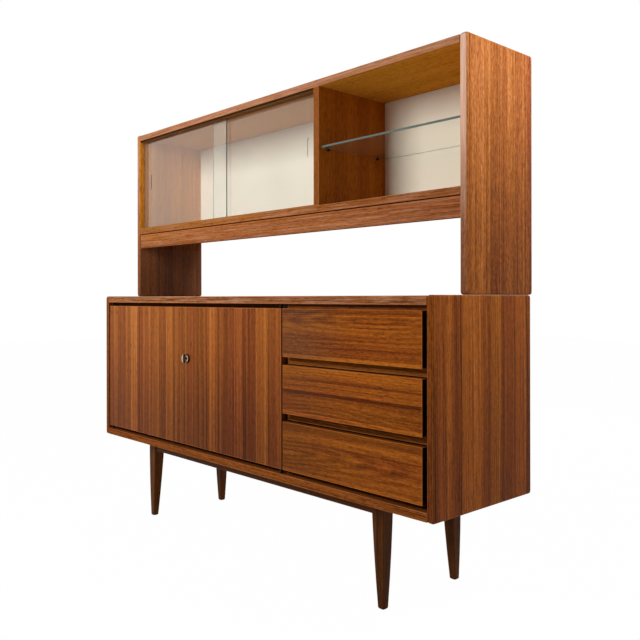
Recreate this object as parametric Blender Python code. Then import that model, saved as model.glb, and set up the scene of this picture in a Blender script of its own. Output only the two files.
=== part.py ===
"""Sideboard on tapered legs with a display unit standing on top.

Metres, +Z up. X runs along the front, the front faces -Y. Every piece is placed in the
cabinet's own coordinates, whose y = 0 is the plane of the base's front edges and whose
z = 0 is the floor. One empty carries them all, so that the bounding box is centred on Y.
"""
import math

import bmesh
import bpy

# Overall sizes
WIDTH = 1.600
LEG_HEIGHT = 0.2835
BASE_HEIGHT = 0.526
BASE_DEPTH = 0.414
DISPLAY_STEP_IN = 0.002
DISPLAY_SETBACK = 0.133
DISPLAY_DEPTH = 0.292
DISPLAY_HEIGHT = 0.639

# Board thicknesses
BASE_SIDE_T = 0.0185
DISPLAY_SIDE_T = 0.0205
BASE_PANEL_T = 0.022
DISPLAY_PANEL_T = 0.020
DISPLAY_DIVIDER_T = 0.022
BASE_DIVIDER_T = 0.018
FRONT_T = 0.018
BACK_T = 0.0045
DISPLAY_BACK_T = 0.003
SHELF_T = 0.016
GLASS_DOOR_T = 0.004
GLASS_SHELF_T = 0.006

# Clearances: touching pieces, running pieces, and the round edges of the boards
TOUCH = 0.0003
RUN = 0.0015
SIDE_PROUD = 0.0015
DISPLAY_SIDE_PROUD = 0.0035
EDGE_ROUND = 0.004
CORNER_ROUND = 0.008
SMALL_ROUND = 0.0012
CUT_OVER = 0.010

# Fronts of the base
FRONT_SIDE_GAP = 0.013
FRONT_TOP_GAP = 0.013
FRONT_BOTTOM_GAP = 0.0137
DRAWER_FRONT_W = 0.506
DRAWER_GAP = 0.0228
DRAWER_COUNT = 3
DOOR_TO_DRAWER_GAP = 0.0065
DOOR_MEETING_GAP = 0.0025
LEFT_DOOR_W = 0.5015

# Inside of the base
FRAME_SETBACK = 0.0235
DOOR_RAIL_SETBACK = 0.045
DOOR_RAIL_H = 0.018
DOOR_RAIL_T = 0.018
DRAWER_RAIL_DEPTH = 0.060
RAIL_UNDER_GAP = 0.002
RAIL_LAP = 0.001
SHELF_HEIGHT = 0.230
SHELF_SETBACK = 0.060
SHELF_BACK_GAP = 0.005
DADO_DEPTH = 0.006

# Drawer boxes and runners
DRAWER_SIDE_T = 0.012
DRAWER_BOX_H = 0.110
DRAWER_BOX_LENGTH = 0.360
DRAWER_BOX_INSET = 0.002
DRAWER_BOTTOM_T = 0.004
DRAWER_BOTTOM_RISE = 0.020
DRAWER_GROOVE = 0.005
SIDE_NOTCH = 0.060
RUNNER_W = 0.026
GUIDE_H = 0.015

# Door pivots, turned pins near the outer edge of each door
PIVOT_INSET = 0.010
PIVOT_R = 0.0025
PIVOT_COLLAR_R = 0.0045
PIVOT_IN_DOOR = 0.010
PIVOT_IN_PANEL = 0.008
PIVOT_FIT = 0.0003

# Lock, bolt and key
LOCK_BACKSET = 0.0385
LOCK_HEIGHT = 0.2995
LOCK_CASE_W = 0.046
LOCK_CASE_H = 0.052
LOCK_CASE_D = 0.014
LOCK_CASE_LEFT = 0.028
LOCK_CASE_BELOW = 0.022
LOCK_WALL = 0.0015
BOLT_H = 0.012
BOLT_T = 0.006
BOLT_RISE = 0.010
BOLT_LENGTH = 0.050
BOLT_SETBACK = 0.002
BOLT_FIT = 0.0004
BARREL_R = 0.0115
BARREL_PROUD = 0.0015
BARREL_FIT = 0.0004
KEY_SHAFT_R = 0.0024
KEY_BIT_L = 0.008
KEY_BIT_T = 0.002
KEY_BIT_W = 0.006
BOW_HALF_H = 0.0135
BOW_HALF_W = 0.0082
BOW_WIRE_R = 0.0018
BOW_STANDOFF = 0.0022

# Legs and the rail between the front ones
LEG_TOP_W = 0.0415
LEG_FOOT_W = 0.0195
LEG_BELLY = 0.0024
LEG_SPLAY_X = 0.0074
LEG_SPLAY_Y = 0.0061
LEG_END_INSET = 0.235
LEG_FRONT_INSET = 0.0854
LEG_BACK_INSET = 0.0395
LEG_ROUND = 0.0026
FOOT_ROUND = 0.0040
LEG_RAIL_H = 0.0405
LEG_RAIL_T = 0.020
LEG_RAIL_SETBACK = 0.0695

# Display unit
BAY_FLOOR_HEIGHT = 0.2455
DISPLAY_BAY_W = 0.5075
APRON_H = 0.0525
APRON_T = 0.018
APRON_GAP = 0.003
APRON_SETBACK = 0.004
TRACK_SETBACK = 0.003
TRACK_D = 0.038
TOP_TRACK_H = 0.014
TOP_TRACK_SHOWN = 0.006
BOTTOM_TRACK_H = 0.0035
GLASS_SETBACK = 0.0205
GLASS_PITCH = 0.009
GLASS_FIT = 0.0005
TOP_GROOVE = 0.0105
BOTTOM_GROOVE = 0.0025
GLASS_IN_TOP = 0.006
GLASS_OVERLAP = 0.0887
PULL_INSET = 0.056
PULL_H = 0.058
PULL_RISE = 0.008
PULL_W = 0.008
PULL_DEPTH = 0.0015
GLASS_SHELF_HEIGHT = 0.169
GLASS_SHELF_SETBACK = 0.0095
GLASS_SHELF_END_GAP = 0.0008
PIN_FRONT_INSET = 0.036
PIN_BACK_INSET = 0.043
PIN_R = 0.0025
PIN_HEAD_R = 0.0035
PIN_HEAD_L = 0.008
PIN_IN_WOOD = 0.008

# Facets of round shapes
ROUND_SIDES = 20
RING_STEPS = 28
WIRE_SIDES = 8
LEG_RINGS = 4
FOOT_RINGS = 3
EDGE_STEPS = 2
CORNER_STEPS = 4

# Places worked out from the sizes
HALF_W = WIDTH / 2
BASE_IN = HALF_W - BASE_SIDE_T
BASE_FLOOR = LEG_HEIGHT + BASE_PANEL_T
BASE_TOP = LEG_HEIGHT + BASE_HEIGHT
BASE_CEILING = BASE_TOP - BASE_PANEL_T
SIDE_TOP = BASE_TOP + SIDE_PROUD
BASE_BACK_Y = BASE_DEPTH - BACK_T
FRONT_BOTTOM = BASE_FLOOR + FRONT_BOTTOM_GAP
FRONT_TOP = BASE_CEILING - FRONT_TOP_GAP
DRAWER_FRONT_H = (FRONT_TOP - FRONT_BOTTOM - (DRAWER_COUNT - 1) * DRAWER_GAP) / DRAWER_COUNT
DRAWER_RIGHT = BASE_IN - FRONT_SIDE_GAP
DRAWER_LEFT = DRAWER_RIGHT - DRAWER_FRONT_W
DOOR_FAR_RIGHT = DRAWER_LEFT - DOOR_TO_DRAWER_GAP
DOOR_FAR_LEFT = -BASE_IN + FRONT_SIDE_GAP
LEFT_DOOR_END = DOOR_FAR_LEFT + LEFT_DOOR_W
RIGHT_DOOR_START = LEFT_DOOR_END + DOOR_MEETING_GAP
DIVIDER_RIGHT = DRAWER_LEFT - RUN - TOUCH
DIVIDER_LEFT = DIVIDER_RIGHT - BASE_DIVIDER_T
RAIL_T = DRAWER_GAP - RAIL_UNDER_GAP + RAIL_LAP
BOX_LEFT = DRAWER_LEFT
BOX_RIGHT = DRAWER_RIGHT - DRAWER_BOX_INSET
SHELF_Z = BASE_FLOOR + SHELF_HEIGHT

DISPLAY_FRONT = DISPLAY_SETBACK
DISPLAY_BACK = DISPLAY_SETBACK + DISPLAY_DEPTH
DISPLAY_BACK_Y = DISPLAY_BACK - DISPLAY_BACK_T
DISPLAY_FOOT = SIDE_TOP + TOUCH
DISPLAY_TOP = SIDE_TOP + DISPLAY_HEIGHT - DISPLAY_SIDE_PROUD
DISPLAY_CEILING = DISPLAY_TOP - DISPLAY_PANEL_T
BAY_UNDERSIDE = SIDE_TOP + BAY_FLOOR_HEIGHT
BAY_FLOOR = BAY_UNDERSIDE + DISPLAY_PANEL_T
DISPLAY_HALF_W = HALF_W - DISPLAY_STEP_IN
DISPLAY_IN = DISPLAY_HALF_W - DISPLAY_SIDE_T
BAY_LEFT = DISPLAY_IN - DISPLAY_BAY_W
GLASS_BAY_RIGHT = BAY_LEFT - DISPLAY_DIVIDER_T
TRACK_FRONT = DISPLAY_FRONT + TRACK_SETBACK
TRACK_LEFT = -DISPLAY_IN + TOUCH
TRACK_RIGHT = GLASS_BAY_RIGHT - TOUCH
PANE_LEFT = -DISPLAY_IN + 2 * TOUCH
PANE_RIGHT = GLASS_BAY_RIGHT - 2 * TOUCH
GLASS_DOOR_W = (PANE_RIGHT - PANE_LEFT + GLASS_OVERLAP) / 2
BOTTOM_TRACK_Z = BAY_FLOOR + TOUCH
TOP_TRACK_Z = DISPLAY_CEILING - TOP_TRACK_SHOWN
GLASS_BOTTOM = BOTTOM_TRACK_Z + BOTTOM_TRACK_H - BOTTOM_GROOVE + TOUCH
GLASS_TOP = TOP_TRACK_Z + GLASS_IN_TOP
GLASS_SHELF_Z = BAY_FLOOR + GLASS_SHELF_HEIGHT
PIN_Z = GLASS_SHELF_Z - TOUCH - PIN_HEAD_R

KEY_X = RIGHT_DOOR_START + LOCK_BACKSET
KEY_Z = BASE_FLOOR + LOCK_HEIGHT
BOW_CENTRE_Y = -BARREL_PROUD - BOW_STANDOFF - BOW_HALF_W
KEY_REACH = -BOW_CENTRE_Y + BOW_HALF_W + BOW_WIRE_R

# The front plane's world Y, which centres the whole on Y = 0 from the key's bow to the back
FRONT_Y = KEY_REACH - (KEY_REACH + DISPLAY_BACK) / 2


def clear_scene():
    """Remove whatever the scene holds."""
    for old in list(bpy.data.objects):
        bpy.data.objects.remove(old, do_unlink=True)


def make_material(name, colour, roughness, metallic=0.0, alpha=1.0):
    """One Principled BSDF material."""
    mat = bpy.data.materials.new(name)
    mat.use_nodes = True
    shader = mat.node_tree.nodes["Principled BSDF"]
    shader.inputs["Base Color"].default_value = (*colour, 1.0)
    shader.inputs["Roughness"].default_value = roughness
    shader.inputs["Metallic"].default_value = metallic
    shader.inputs["Alpha"].default_value = alpha
    mat.diffuse_color = (*colour, alpha)
    return mat


def make_empty(name, place, parent=None):
    """An empty that carries pieces; its place is given in the cabinet's coordinates."""
    empty = bpy.data.objects.new(name, None)
    bpy.context.collection.objects.link(empty)
    empty.location = place
    empty["place"] = tuple(place)
    if parent:
        empty.parent = parent
        empty.location = [a - b for a, b in zip(place, parent["place"])]
    return empty


def add_object(name, mesh, place, mat, carrier):
    """Link a mesh as an object at a place in the cabinet's coordinates."""
    obj = bpy.data.objects.new(name, mesh)
    bpy.context.collection.objects.link(obj)
    obj.parent = carrier
    obj.location = [a - b for a, b in zip(place, carrier["place"])]
    if mat:
        mesh.materials.append(mat)
    return obj


def mesh_from(bm, name, smooth=False):
    """Turn a bmesh into a mesh with outward faces."""
    bmesh.ops.recalc_face_normals(bm, faces=bm.faces)
    mesh = bpy.data.meshes.new(name)
    bm.to_mesh(mesh)
    bm.free()
    if smooth:
        mesh.shade_smooth()
        mesh.set_sharp_from_angle(angle=math.radians(35))
    return mesh


def box_mesh(name, size, corner=0.0):
    """A box about its centre; where asked, its four edges along X are rounded."""
    bm = bmesh.new()
    bmesh.ops.create_cube(bm, size=1.0)
    bmesh.ops.scale(bm, vec=size, verts=bm.verts)
    if corner:
        along = [e for e in bm.edges if abs(e.verts[0].co.x - e.verts[1].co.x) > TOUCH]
        bmesh.ops.bevel(bm, geom=along, offset=corner, segments=CORNER_STEPS, affect="EDGES", profile=0.5)
    return mesh_from(bm, name)


def board(name, low, high, mat, carrier, rounding=0.0, corner=0.0):
    """A board between two corners, its edges rounded where asked and its outline's corners more."""
    size = [b - a for a, b in zip(low, high)]
    centre = [(a + b) / 2 for a, b in zip(low, high)]
    obj = add_object(name, box_mesh(name, size, corner), centre, mat, carrier)
    if rounding:
        bevel = obj.modifiers.new("round_edges", "BEVEL")
        bevel.width = rounding
        bevel.segments = EDGE_STEPS
        bevel.limit_method = "ANGLE"
        bevel.use_clamp_overlap = False
    return obj


def lathe(name, profile, place, mat, carrier, axis="Z"):
    """A turned piece from (radius, height) pairs, its first and last ring capped."""
    bm = bmesh.new()
    rings = []
    for radius, height in profile:
        ring = []
        for k in range(ROUND_SIDES):
            turn = 2 * math.pi * k / ROUND_SIDES
            a, b = radius * math.cos(turn), radius * math.sin(turn)
            point = {"X": (height, a, b), "Y": (b, height, a), "Z": (a, b, height)}[axis]
            ring.append(bm.verts.new(point))
        rings.append(ring)
    for low, high in zip(rings, rings[1:]):
        for k in range(ROUND_SIDES):
            nxt = (k + 1) % ROUND_SIDES
            bm.faces.new((low[k], low[nxt], high[nxt], high[k]))
    bm.faces.new(rings[0])
    bm.faces.new(rings[-1])
    return add_object(name, mesh_from(bm, name, smooth=True), place, mat, carrier)


def as_tool(obj):
    """Keep a helper solid out of the model."""
    obj.hide_render = True
    obj.display_type = "WIRE"
    return obj


def combine(obj, tool, operation="DIFFERENCE"):
    """Cut a helper solid out of a piece, or join it on."""
    step = obj.modifiers.new(f"{operation.lower()}_{tool.name}", "BOOLEAN")
    step.operation = operation
    step.solver = "EXACT"
    step.object = as_tool(tool)
    return obj


def cut_box(obj, name, low, high):
    """Cut a box, given in the cabinet's coordinates, out of a piece."""
    return combine(obj, board(f"cut_{name}", low, high, None, obj.parent))


def cut_bore(obj, name, radius, place, length, axis="Z"):
    """Cut a round hole of some length, starting at a place and running up its axis."""
    tool = lathe(f"cut_{name}", [(radius, 0.0), (radius, length)], place, None, obj.parent, axis)
    return combine(obj, tool)


def build_base_case(cabinet, wood, back_mat):
    """Sides, top, bottom, divider and back of the sideboard."""
    sides = {}
    for name, sign in (("left", -1), ("right", 1)):
        x = sorted((sign * BASE_IN, sign * HALF_W))
        low = (x[0], 0.0, LEG_HEIGHT - SIDE_PROUD)
        high = (x[1], BASE_DEPTH, SIDE_TOP)
        sides[name] = board(f"base_side_{name}", low, high, wood, cabinet, EDGE_ROUND, CORNER_ROUND)
    span = BASE_IN - TOUCH
    top = board("base_top", (-span, 0.0, BASE_CEILING), (span, BASE_DEPTH, BASE_TOP),
                wood, cabinet, SMALL_ROUND)
    bottom = board("base_bottom", (-span, 0.0, LEG_HEIGHT), (span, BASE_BACK_Y - TOUCH, BASE_FLOOR),
                   wood, cabinet, SMALL_ROUND)
    board("base_back", (-span, BASE_BACK_Y, LEG_HEIGHT), (span, BASE_DEPTH, BASE_CEILING - TOUCH),
          back_mat, cabinet)
    divider = board("base_divider", (DIVIDER_LEFT, FRAME_SETBACK, BASE_FLOOR + TOUCH),
                    (DIVIDER_RIGHT, BASE_BACK_Y - TOUCH, BASE_CEILING - TOUCH), wood, cabinet)
    return sides["left"], top, bottom, divider


def build_door_compartment(cabinet, wood, side, divider):
    """The rail over the doors, and the shelf housed in the left side and the divider."""
    left, right = -BASE_IN + TOUCH, DIVIDER_LEFT - TOUCH
    board("door_rail", (left, DOOR_RAIL_SETBACK, BASE_CEILING - TOUCH - DOOR_RAIL_H),
          (right, DOOR_RAIL_SETBACK + DOOR_RAIL_T, BASE_CEILING - TOUCH), wood, cabinet)
    reach = DADO_DEPTH - TOUCH
    back = BASE_BACK_Y - SHELF_BACK_GAP
    board("door_shelf", (-BASE_IN - reach, SHELF_SETBACK, SHELF_Z),
          (DIVIDER_LEFT + reach, back, SHELF_Z + SHELF_T), wood, cabinet, SMALL_ROUND)
    y = (SHELF_SETBACK - TOUCH, back + TOUCH)
    z = (SHELF_Z - TOUCH, SHELF_Z + SHELF_T + TOUCH)
    cut_box(side, "side_dado", (-BASE_IN - DADO_DEPTH, y[0], z[0]), (-BASE_IN + CUT_OVER, y[1], z[1]))
    cut_box(divider, "divider_dado", (DIVIDER_LEFT - CUT_OVER, y[0], z[0]),
            (DIVIDER_LEFT + DADO_DEPTH, y[1], z[1]))


def rail_top(level):
    """Height of the top of the rail under a drawer; the lowest drawer runs on the floor board."""
    if level == 0:
        return BASE_FLOOR
    return FRONT_BOTTOM + level * (DRAWER_FRONT_H + DRAWER_GAP) + RAIL_LAP


def build_drawer_frame(cabinet, wood, runner_mat):
    """Rails between the drawers, with a runner at each side behind each rail."""
    x = (DIVIDER_RIGHT + TOUCH, BASE_IN - TOUCH)
    y = (FRAME_SETBACK, FRAME_SETBACK + DRAWER_RAIL_DEPTH)
    board("drawer_rail_top", (x[0], y[0], BASE_CEILING - TOUCH - DOOR_RAIL_H),
          (x[1], y[1], BASE_CEILING - TOUCH), wood, cabinet)
    run_y = (y[1] + TOUCH, BASE_BACK_Y - TOUCH)
    guide_x = BOX_RIGHT + RUN
    for name, level in (("lower", 1), ("upper", 2)):
        top = rail_top(level)
        board(f"drawer_rail_{name}", (x[0], y[0], top - RAIL_T), (x[1], y[1], top), wood, cabinet)
        board(f"drawer_runner_{name}_left", (x[0], run_y[0], top - RAIL_T),
              (x[0] + RUNNER_W, run_y[1], top), runner_mat, cabinet)
        right = board(f"drawer_runner_{name}_right", (guide_x - RUNNER_W, run_y[0], top - RAIL_T),
                      (x[1], run_y[1], top + GUIDE_H), runner_mat, cabinet)
        cut_box(right, f"guide_{name}", (guide_x - RUNNER_W - CUT_OVER, run_y[0] - CUT_OVER, top),
                (guide_x, run_y[1] + CUT_OVER, top + GUIDE_H + CUT_OVER))


def build_drawer(cabinet, index, front_mat, box_mat, bottom_mat):
    """One drawer: its front, two grooved sides, a back, and a thin bottom in the grooves."""
    level = DRAWER_COUNT - index
    low_z = FRONT_BOTTOM + level * (DRAWER_FRONT_H + DRAWER_GAP)
    carrier = make_empty(f"drawer_{index}_slide", ((DRAWER_LEFT + DRAWER_RIGHT) / 2, 0.0, low_z), cabinet)
    front = board(f"drawer_{index}_front", (DRAWER_LEFT, 0.0, low_z),
                  (DRAWER_RIGHT, FRONT_T, low_z + DRAWER_FRONT_H), front_mat, carrier, SMALL_ROUND)

    box_z = rail_top(level) + TOUCH
    box_y = (FRONT_T + TOUCH, FRONT_T + TOUCH + DRAWER_BOX_LENGTH)
    inner = (BOX_LEFT + DRAWER_SIDE_T, BOX_RIGHT - DRAWER_SIDE_T)
    bottom_z = box_z + DRAWER_BOTTOM_RISE
    groove_x = (inner[0] - DRAWER_GROOVE, inner[1] + DRAWER_GROOVE)
    groove_z = (bottom_z - TOUCH, bottom_z + DRAWER_BOTTOM_T + TOUCH)
    for name, x in (("left", (BOX_LEFT, inner[0])), ("right", (inner[1], BOX_RIGHT))):
        side = board(f"drawer_{index}_side_{name}", (x[0], box_y[0], box_z),
                     (x[1], box_y[1], box_z + DRAWER_BOX_H), box_mat, carrier)
        cut_box(side, f"drawer_{index}_groove_{name}", (groove_x[0], box_y[0] - CUT_OVER, groove_z[0]),
                (groove_x[1], box_y[1] + CUT_OVER, groove_z[1]))
        if box_z < low_z:
            notch_low = (x[0] - CUT_OVER, box_y[0] - CUT_OVER, box_z - CUT_OVER)
            notch_high = (x[1] + CUT_OVER, box_y[0] + SIDE_NOTCH, low_z + RAIL_LAP)
            cut_box(side, f"drawer_{index}_notch_{name}", notch_low, notch_high)
    cut_box(front, f"drawer_{index}_groove_front", (groove_x[0], FRONT_T - DRAWER_GROOVE, groove_z[0]),
            (groove_x[1], FRONT_T + CUT_OVER, groove_z[1]))
    board(f"drawer_{index}_bottom", (groove_x[0] + TOUCH, FRONT_T - DRAWER_GROOVE + TOUCH, bottom_z),
          (groove_x[1] - TOUCH, box_y[1], bottom_z + DRAWER_BOTTOM_T), bottom_mat, carrier)
    board(f"drawer_{index}_back", (inner[0] + TOUCH, box_y[1] - DRAWER_SIDE_T, groove_z[1]),
          (inner[1] - TOUCH, box_y[1], box_z + DRAWER_BOX_H), box_mat, carrier)


def build_doors(cabinet, front_mat, steel, top, bottom):
    """Two doors, each on a pivot pin at its foot and another at its head."""
    middle_y = FRONT_T / 2
    doors = {}
    for name, x0, x1, axis_x in (
            ("left", DOOR_FAR_LEFT, LEFT_DOOR_END, DOOR_FAR_LEFT + PIVOT_INSET),
            ("right", RIGHT_DOOR_START, DOOR_FAR_RIGHT, DOOR_FAR_RIGHT - PIVOT_INSET)):
        carrier = make_empty(f"door_{name}_axis", (axis_x, middle_y, FRONT_BOTTOM), cabinet)
        door = board(f"door_{name}", (x0, 0.0, FRONT_BOTTOM), (x1, FRONT_T, FRONT_TOP),
                     front_mat, carrier, SMALL_ROUND)
        bore = PIVOT_R + PIVOT_FIT
        deep = PIVOT_IN_DOOR + RUN
        cut_bore(door, f"{name}_door_foot", bore, (axis_x, middle_y, FRONT_BOTTOM - CUT_OVER),
                 CUT_OVER + deep)
        cut_bore(door, f"{name}_door_head", bore, (axis_x, middle_y, FRONT_TOP - deep), CUT_OVER + deep)
        cut_bore(bottom, f"{name}_bottom_bore", bore,
                 (axis_x, middle_y, BASE_FLOOR - PIVOT_IN_PANEL - TOUCH), CUT_OVER + PIVOT_IN_PANEL)
        cut_bore(top, f"{name}_top_bore", bore,
                 (axis_x, middle_y, BASE_CEILING - CUT_OVER), CUT_OVER + PIVOT_IN_PANEL + TOUCH)
        foot_collar = FRONT_BOTTOM_GAP - 2 * TOUCH
        lathe(f"door_{name}_pivot_foot",
              [(PIVOT_R, -PIVOT_IN_PANEL), (PIVOT_R, 0.0), (PIVOT_COLLAR_R, 0.0),
               (PIVOT_COLLAR_R, foot_collar), (PIVOT_R, foot_collar),
               (PIVOT_R, foot_collar + PIVOT_IN_DOOR)],
              (axis_x, middle_y, BASE_FLOOR + TOUCH), steel, cabinet)
        head_collar = FRONT_TOP_GAP - 2 * TOUCH
        lathe(f"door_{name}_pivot_head",
              [(PIVOT_R, -PIVOT_IN_DOOR), (PIVOT_R, 0.0), (PIVOT_COLLAR_R, 0.0),
               (PIVOT_COLLAR_R, head_collar), (PIVOT_R, head_collar),
               (PIVOT_R, head_collar + PIVOT_IN_PANEL)],
              (axis_x, middle_y, FRONT_TOP + TOUCH), steel, cabinet)
        doors[name] = door
    return doors


def cut_keyhole(obj, name, y0, y1, fit):
    """A round hole for the key's shaft with a slot below it for the bit."""
    cut_bore(obj, f"{name}_eye", KEY_SHAFT_R + fit, (KEY_X, y0, KEY_Z), y1 - y0, "Y")
    cut_box(obj, f"{name}_slot", (KEY_X - KEY_BIT_T / 2 - fit, y0, KEY_Z - KEY_BIT_L - fit),
            (KEY_X + KEY_BIT_T / 2 + fit, y1, KEY_Z))


def build_lock(door, nickel):
    """A hollow lock case behind the right door, its barrel through the door, the bolt and the key."""
    door_carrier = door.parent
    case_x = (KEY_X - LOCK_CASE_LEFT, KEY_X - LOCK_CASE_LEFT + LOCK_CASE_W)
    case_y = (FRONT_T + TOUCH, FRONT_T + TOUCH + LOCK_CASE_D)
    case_z = (KEY_Z - LOCK_CASE_BELOW, KEY_Z - LOCK_CASE_BELOW + LOCK_CASE_H)
    bolt_x = (RIGHT_DOOR_START + BOLT_SETBACK, RIGHT_DOOR_START + BOLT_SETBACK + BOLT_LENGTH)
    bolt_y = (case_y[0] + (LOCK_CASE_D - BOLT_T) / 2, case_y[0] + (LOCK_CASE_D + BOLT_T) / 2)
    bolt_z = (KEY_Z + BOLT_RISE, KEY_Z + BOLT_RISE + BOLT_H)

    case = board("lock_case", (case_x[0], case_y[0], case_z[0]), (case_x[1], case_y[1], case_z[1]),
                 nickel, door_carrier)
    barrel = lathe("lock_barrel", [(BARREL_R, 0.0), (BARREL_R, case_y[0] + BARREL_PROUD + LOCK_WALL / 2)],
                   (KEY_X, -BARREL_PROUD, KEY_Z), None, door_carrier, "Y")
    combine(case, barrel, "UNION")
    cut_box(case, "lock_hollow", [low + LOCK_WALL for low in (case_x[0], case_y[0], case_z[0])],
            [high - LOCK_WALL for high in (case_x[1], case_y[1], case_z[1])])
    cut_box(case, "lock_slot", (case_x[0] - CUT_OVER, bolt_y[0] - BOLT_FIT, bolt_z[0] - BOLT_FIT),
            (case_x[0] + LOCK_WALL + TOUCH, bolt_y[1] + BOLT_FIT, bolt_z[1] + BOLT_FIT))
    cut_keyhole(case, "case", -CUT_OVER, case_y[0] + LOCK_WALL + TOUCH, 2 * TOUCH)
    cut_bore(door, "barrel_hole", BARREL_R + BARREL_FIT, (KEY_X, -CUT_OVER, KEY_Z),
             FRONT_T + 2 * CUT_OVER, "Y")

    bolt_carrier = make_empty("lock_bolt_slide", (bolt_x[0], bolt_y[0], bolt_z[0]), door_carrier)
    board("lock_bolt", (bolt_x[0], bolt_y[0], bolt_z[0]), (bolt_x[1], bolt_y[1], bolt_z[1]),
          nickel, bolt_carrier)

    key_carrier = make_empty("key_axis", (KEY_X, 0.0, KEY_Z), door_carrier)
    bit_y = ((bolt_y[0] + bolt_y[1] - KEY_BIT_W) / 2, (bolt_y[0] + bolt_y[1] + KEY_BIT_W) / 2)
    key = lathe("key", [(KEY_SHAFT_R, BOW_CENTRE_Y + BOW_HALF_W), (KEY_SHAFT_R, bit_y[1] + TOUCH)],
                (KEY_X, 0.0, KEY_Z), nickel, key_carrier, "Y")
    combine(key, bow_ring(key_carrier), "UNION")
    bit = board("key_bit", (KEY_X - KEY_BIT_T / 2, bit_y[0], KEY_Z - KEY_BIT_L),
                (KEY_X + KEY_BIT_T / 2, bit_y[1], KEY_Z), None, key_carrier)
    combine(key, bit, "UNION")


def bow_ring(carrier):
    """The key's bow: a round wire bent to an ellipse that stands in the Y-Z plane."""
    bm = bmesh.new()
    rings = []
    for k in range(RING_STEPS):
        turn = 2 * math.pi * k / RING_STEPS
        out_y, out_z = math.cos(turn), math.sin(turn)
        centre_y = BOW_CENTRE_Y + BOW_HALF_W * out_y
        centre_z = BOW_HALF_H * out_z
        ring = []
        for j in range(WIRE_SIDES):
            around = 2 * math.pi * j / WIRE_SIDES
            away = BOW_WIRE_R * math.cos(around)
            ring.append(bm.verts.new((BOW_WIRE_R * math.sin(around),
                                      centre_y + away * out_y, centre_z + away * out_z)))
        rings.append(ring)
    for k in range(RING_STEPS):
        here, there = rings[k], rings[(k + 1) % RING_STEPS]
        for j in range(WIRE_SIDES):
            nxt = (j + 1) % WIRE_SIDES
            bm.faces.new((here[j], here[nxt], there[nxt], there[j]))
    mesh = mesh_from(bm, "key_bow", smooth=True)
    return add_object("key_bow", mesh, (KEY_X, 0.0, KEY_Z), None, carrier)


def leg_section(height):
    """Width of a leg at a height, and how far it has splayed outward along X and along Y."""
    share = height / LEG_HEIGHT
    width = LEG_FOOT_W + (LEG_TOP_W - LEG_FOOT_W) * share + 4 * LEG_BELLY * share * (1 - share)
    return width, LEG_SPLAY_X * (1 - share), LEG_SPLAY_Y * (1 - share)


def foot_inset(height):
    """How far the faces of a leg draw in near the floor, round a quarter circle."""
    below = max(FOOT_ROUND - height, 0.0)
    return FOOT_ROUND - math.sqrt(FOOT_ROUND ** 2 - below ** 2)


def leg_heights():
    """Heights of a leg's rings: close together round the foot, then evenly up to the top."""
    foot = [FOOT_ROUND * (1 - math.cos(math.pi / 2 * k / FOOT_RINGS)) for k in range(FOOT_RINGS)]
    rise = LEG_HEIGHT - TOUCH - FOOT_ROUND
    return foot + [FOOT_ROUND + rise * k / LEG_RINGS for k in range(LEG_RINGS + 1)]


def leg_places():
    """Name, signs of the outward directions, and the centre of each leg's top."""
    x = HALF_W - LEG_END_INSET
    front, back = LEG_FRONT_INSET, BASE_DEPTH - LEG_BACK_INSET
    return [("front_left", -1, -1, -x, front), ("front_right", 1, -1, x, front),
            ("back_left", -1, 1, -x, back), ("back_right", 1, 1, x, back)]


def build_legs(cabinet, dark):
    """Four square legs, tapered on all sides and splayed a little outward."""
    corners = ((-1, -1), (1, -1), (1, 1), (-1, 1))
    for name, out_x, out_y, x, y in leg_places():
        bm = bmesh.new()
        rings = []
        for height in leg_heights():
            width, dx, dy = leg_section(height)
            half = width / 2 - foot_inset(height)
            rings.append([bm.verts.new((out_x * dx + a * half, out_y * dy + b * half, height))
                          for a, b in corners])
        for low, high in zip(rings, rings[1:]):
            for k in range(4):
                nxt = (k + 1) % 4
                bm.faces.new((low[k], low[nxt], high[nxt], high[k]))
        bm.faces.new(rings[0])
        bm.faces.new(rings[-1])
        bmesh.ops.recalc_face_normals(bm, faces=bm.faces)
        arrises = [e for e in bm.edges if abs(e.verts[0].co.z - e.verts[1].co.z) > TOUCH]
        bmesh.ops.bevel(bm, geom=arrises, offset=LEG_ROUND, segments=EDGE_STEPS, affect="EDGES",
                        profile=0.5)
        add_object(f"leg_{name}", mesh_from(bm, f"leg_{name}"), (x, y, 0.0), dark, cabinet)


def build_leg_rail(cabinet, dark):
    """The rail between the front legs, its ends cut to the legs' slope."""
    x = HALF_W - LEG_END_INSET
    top = LEG_HEIGHT - TOUCH
    bm = bmesh.new()
    ends = []
    for height in (top - LEG_RAIL_H, top):
        width, dx, _ = leg_section(height)
        reach = x + dx - width / 2 - TOUCH
        ends.append([bm.verts.new((side * reach, y, height - top))
                     for side, y in ((-1, 0.0), (1, 0.0), (1, LEG_RAIL_T), (-1, LEG_RAIL_T))])
    low, high = ends
    for k in range(4):
        nxt = (k + 1) % 4
        bm.faces.new((low[k], low[nxt], high[nxt], high[k]))
    bm.faces.new(low)
    bm.faces.new(high)
    add_object("leg_rail_front", mesh_from(bm, "leg_rail_front"), (0.0, LEG_RAIL_SETBACK, top),
               dark, cabinet)


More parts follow.
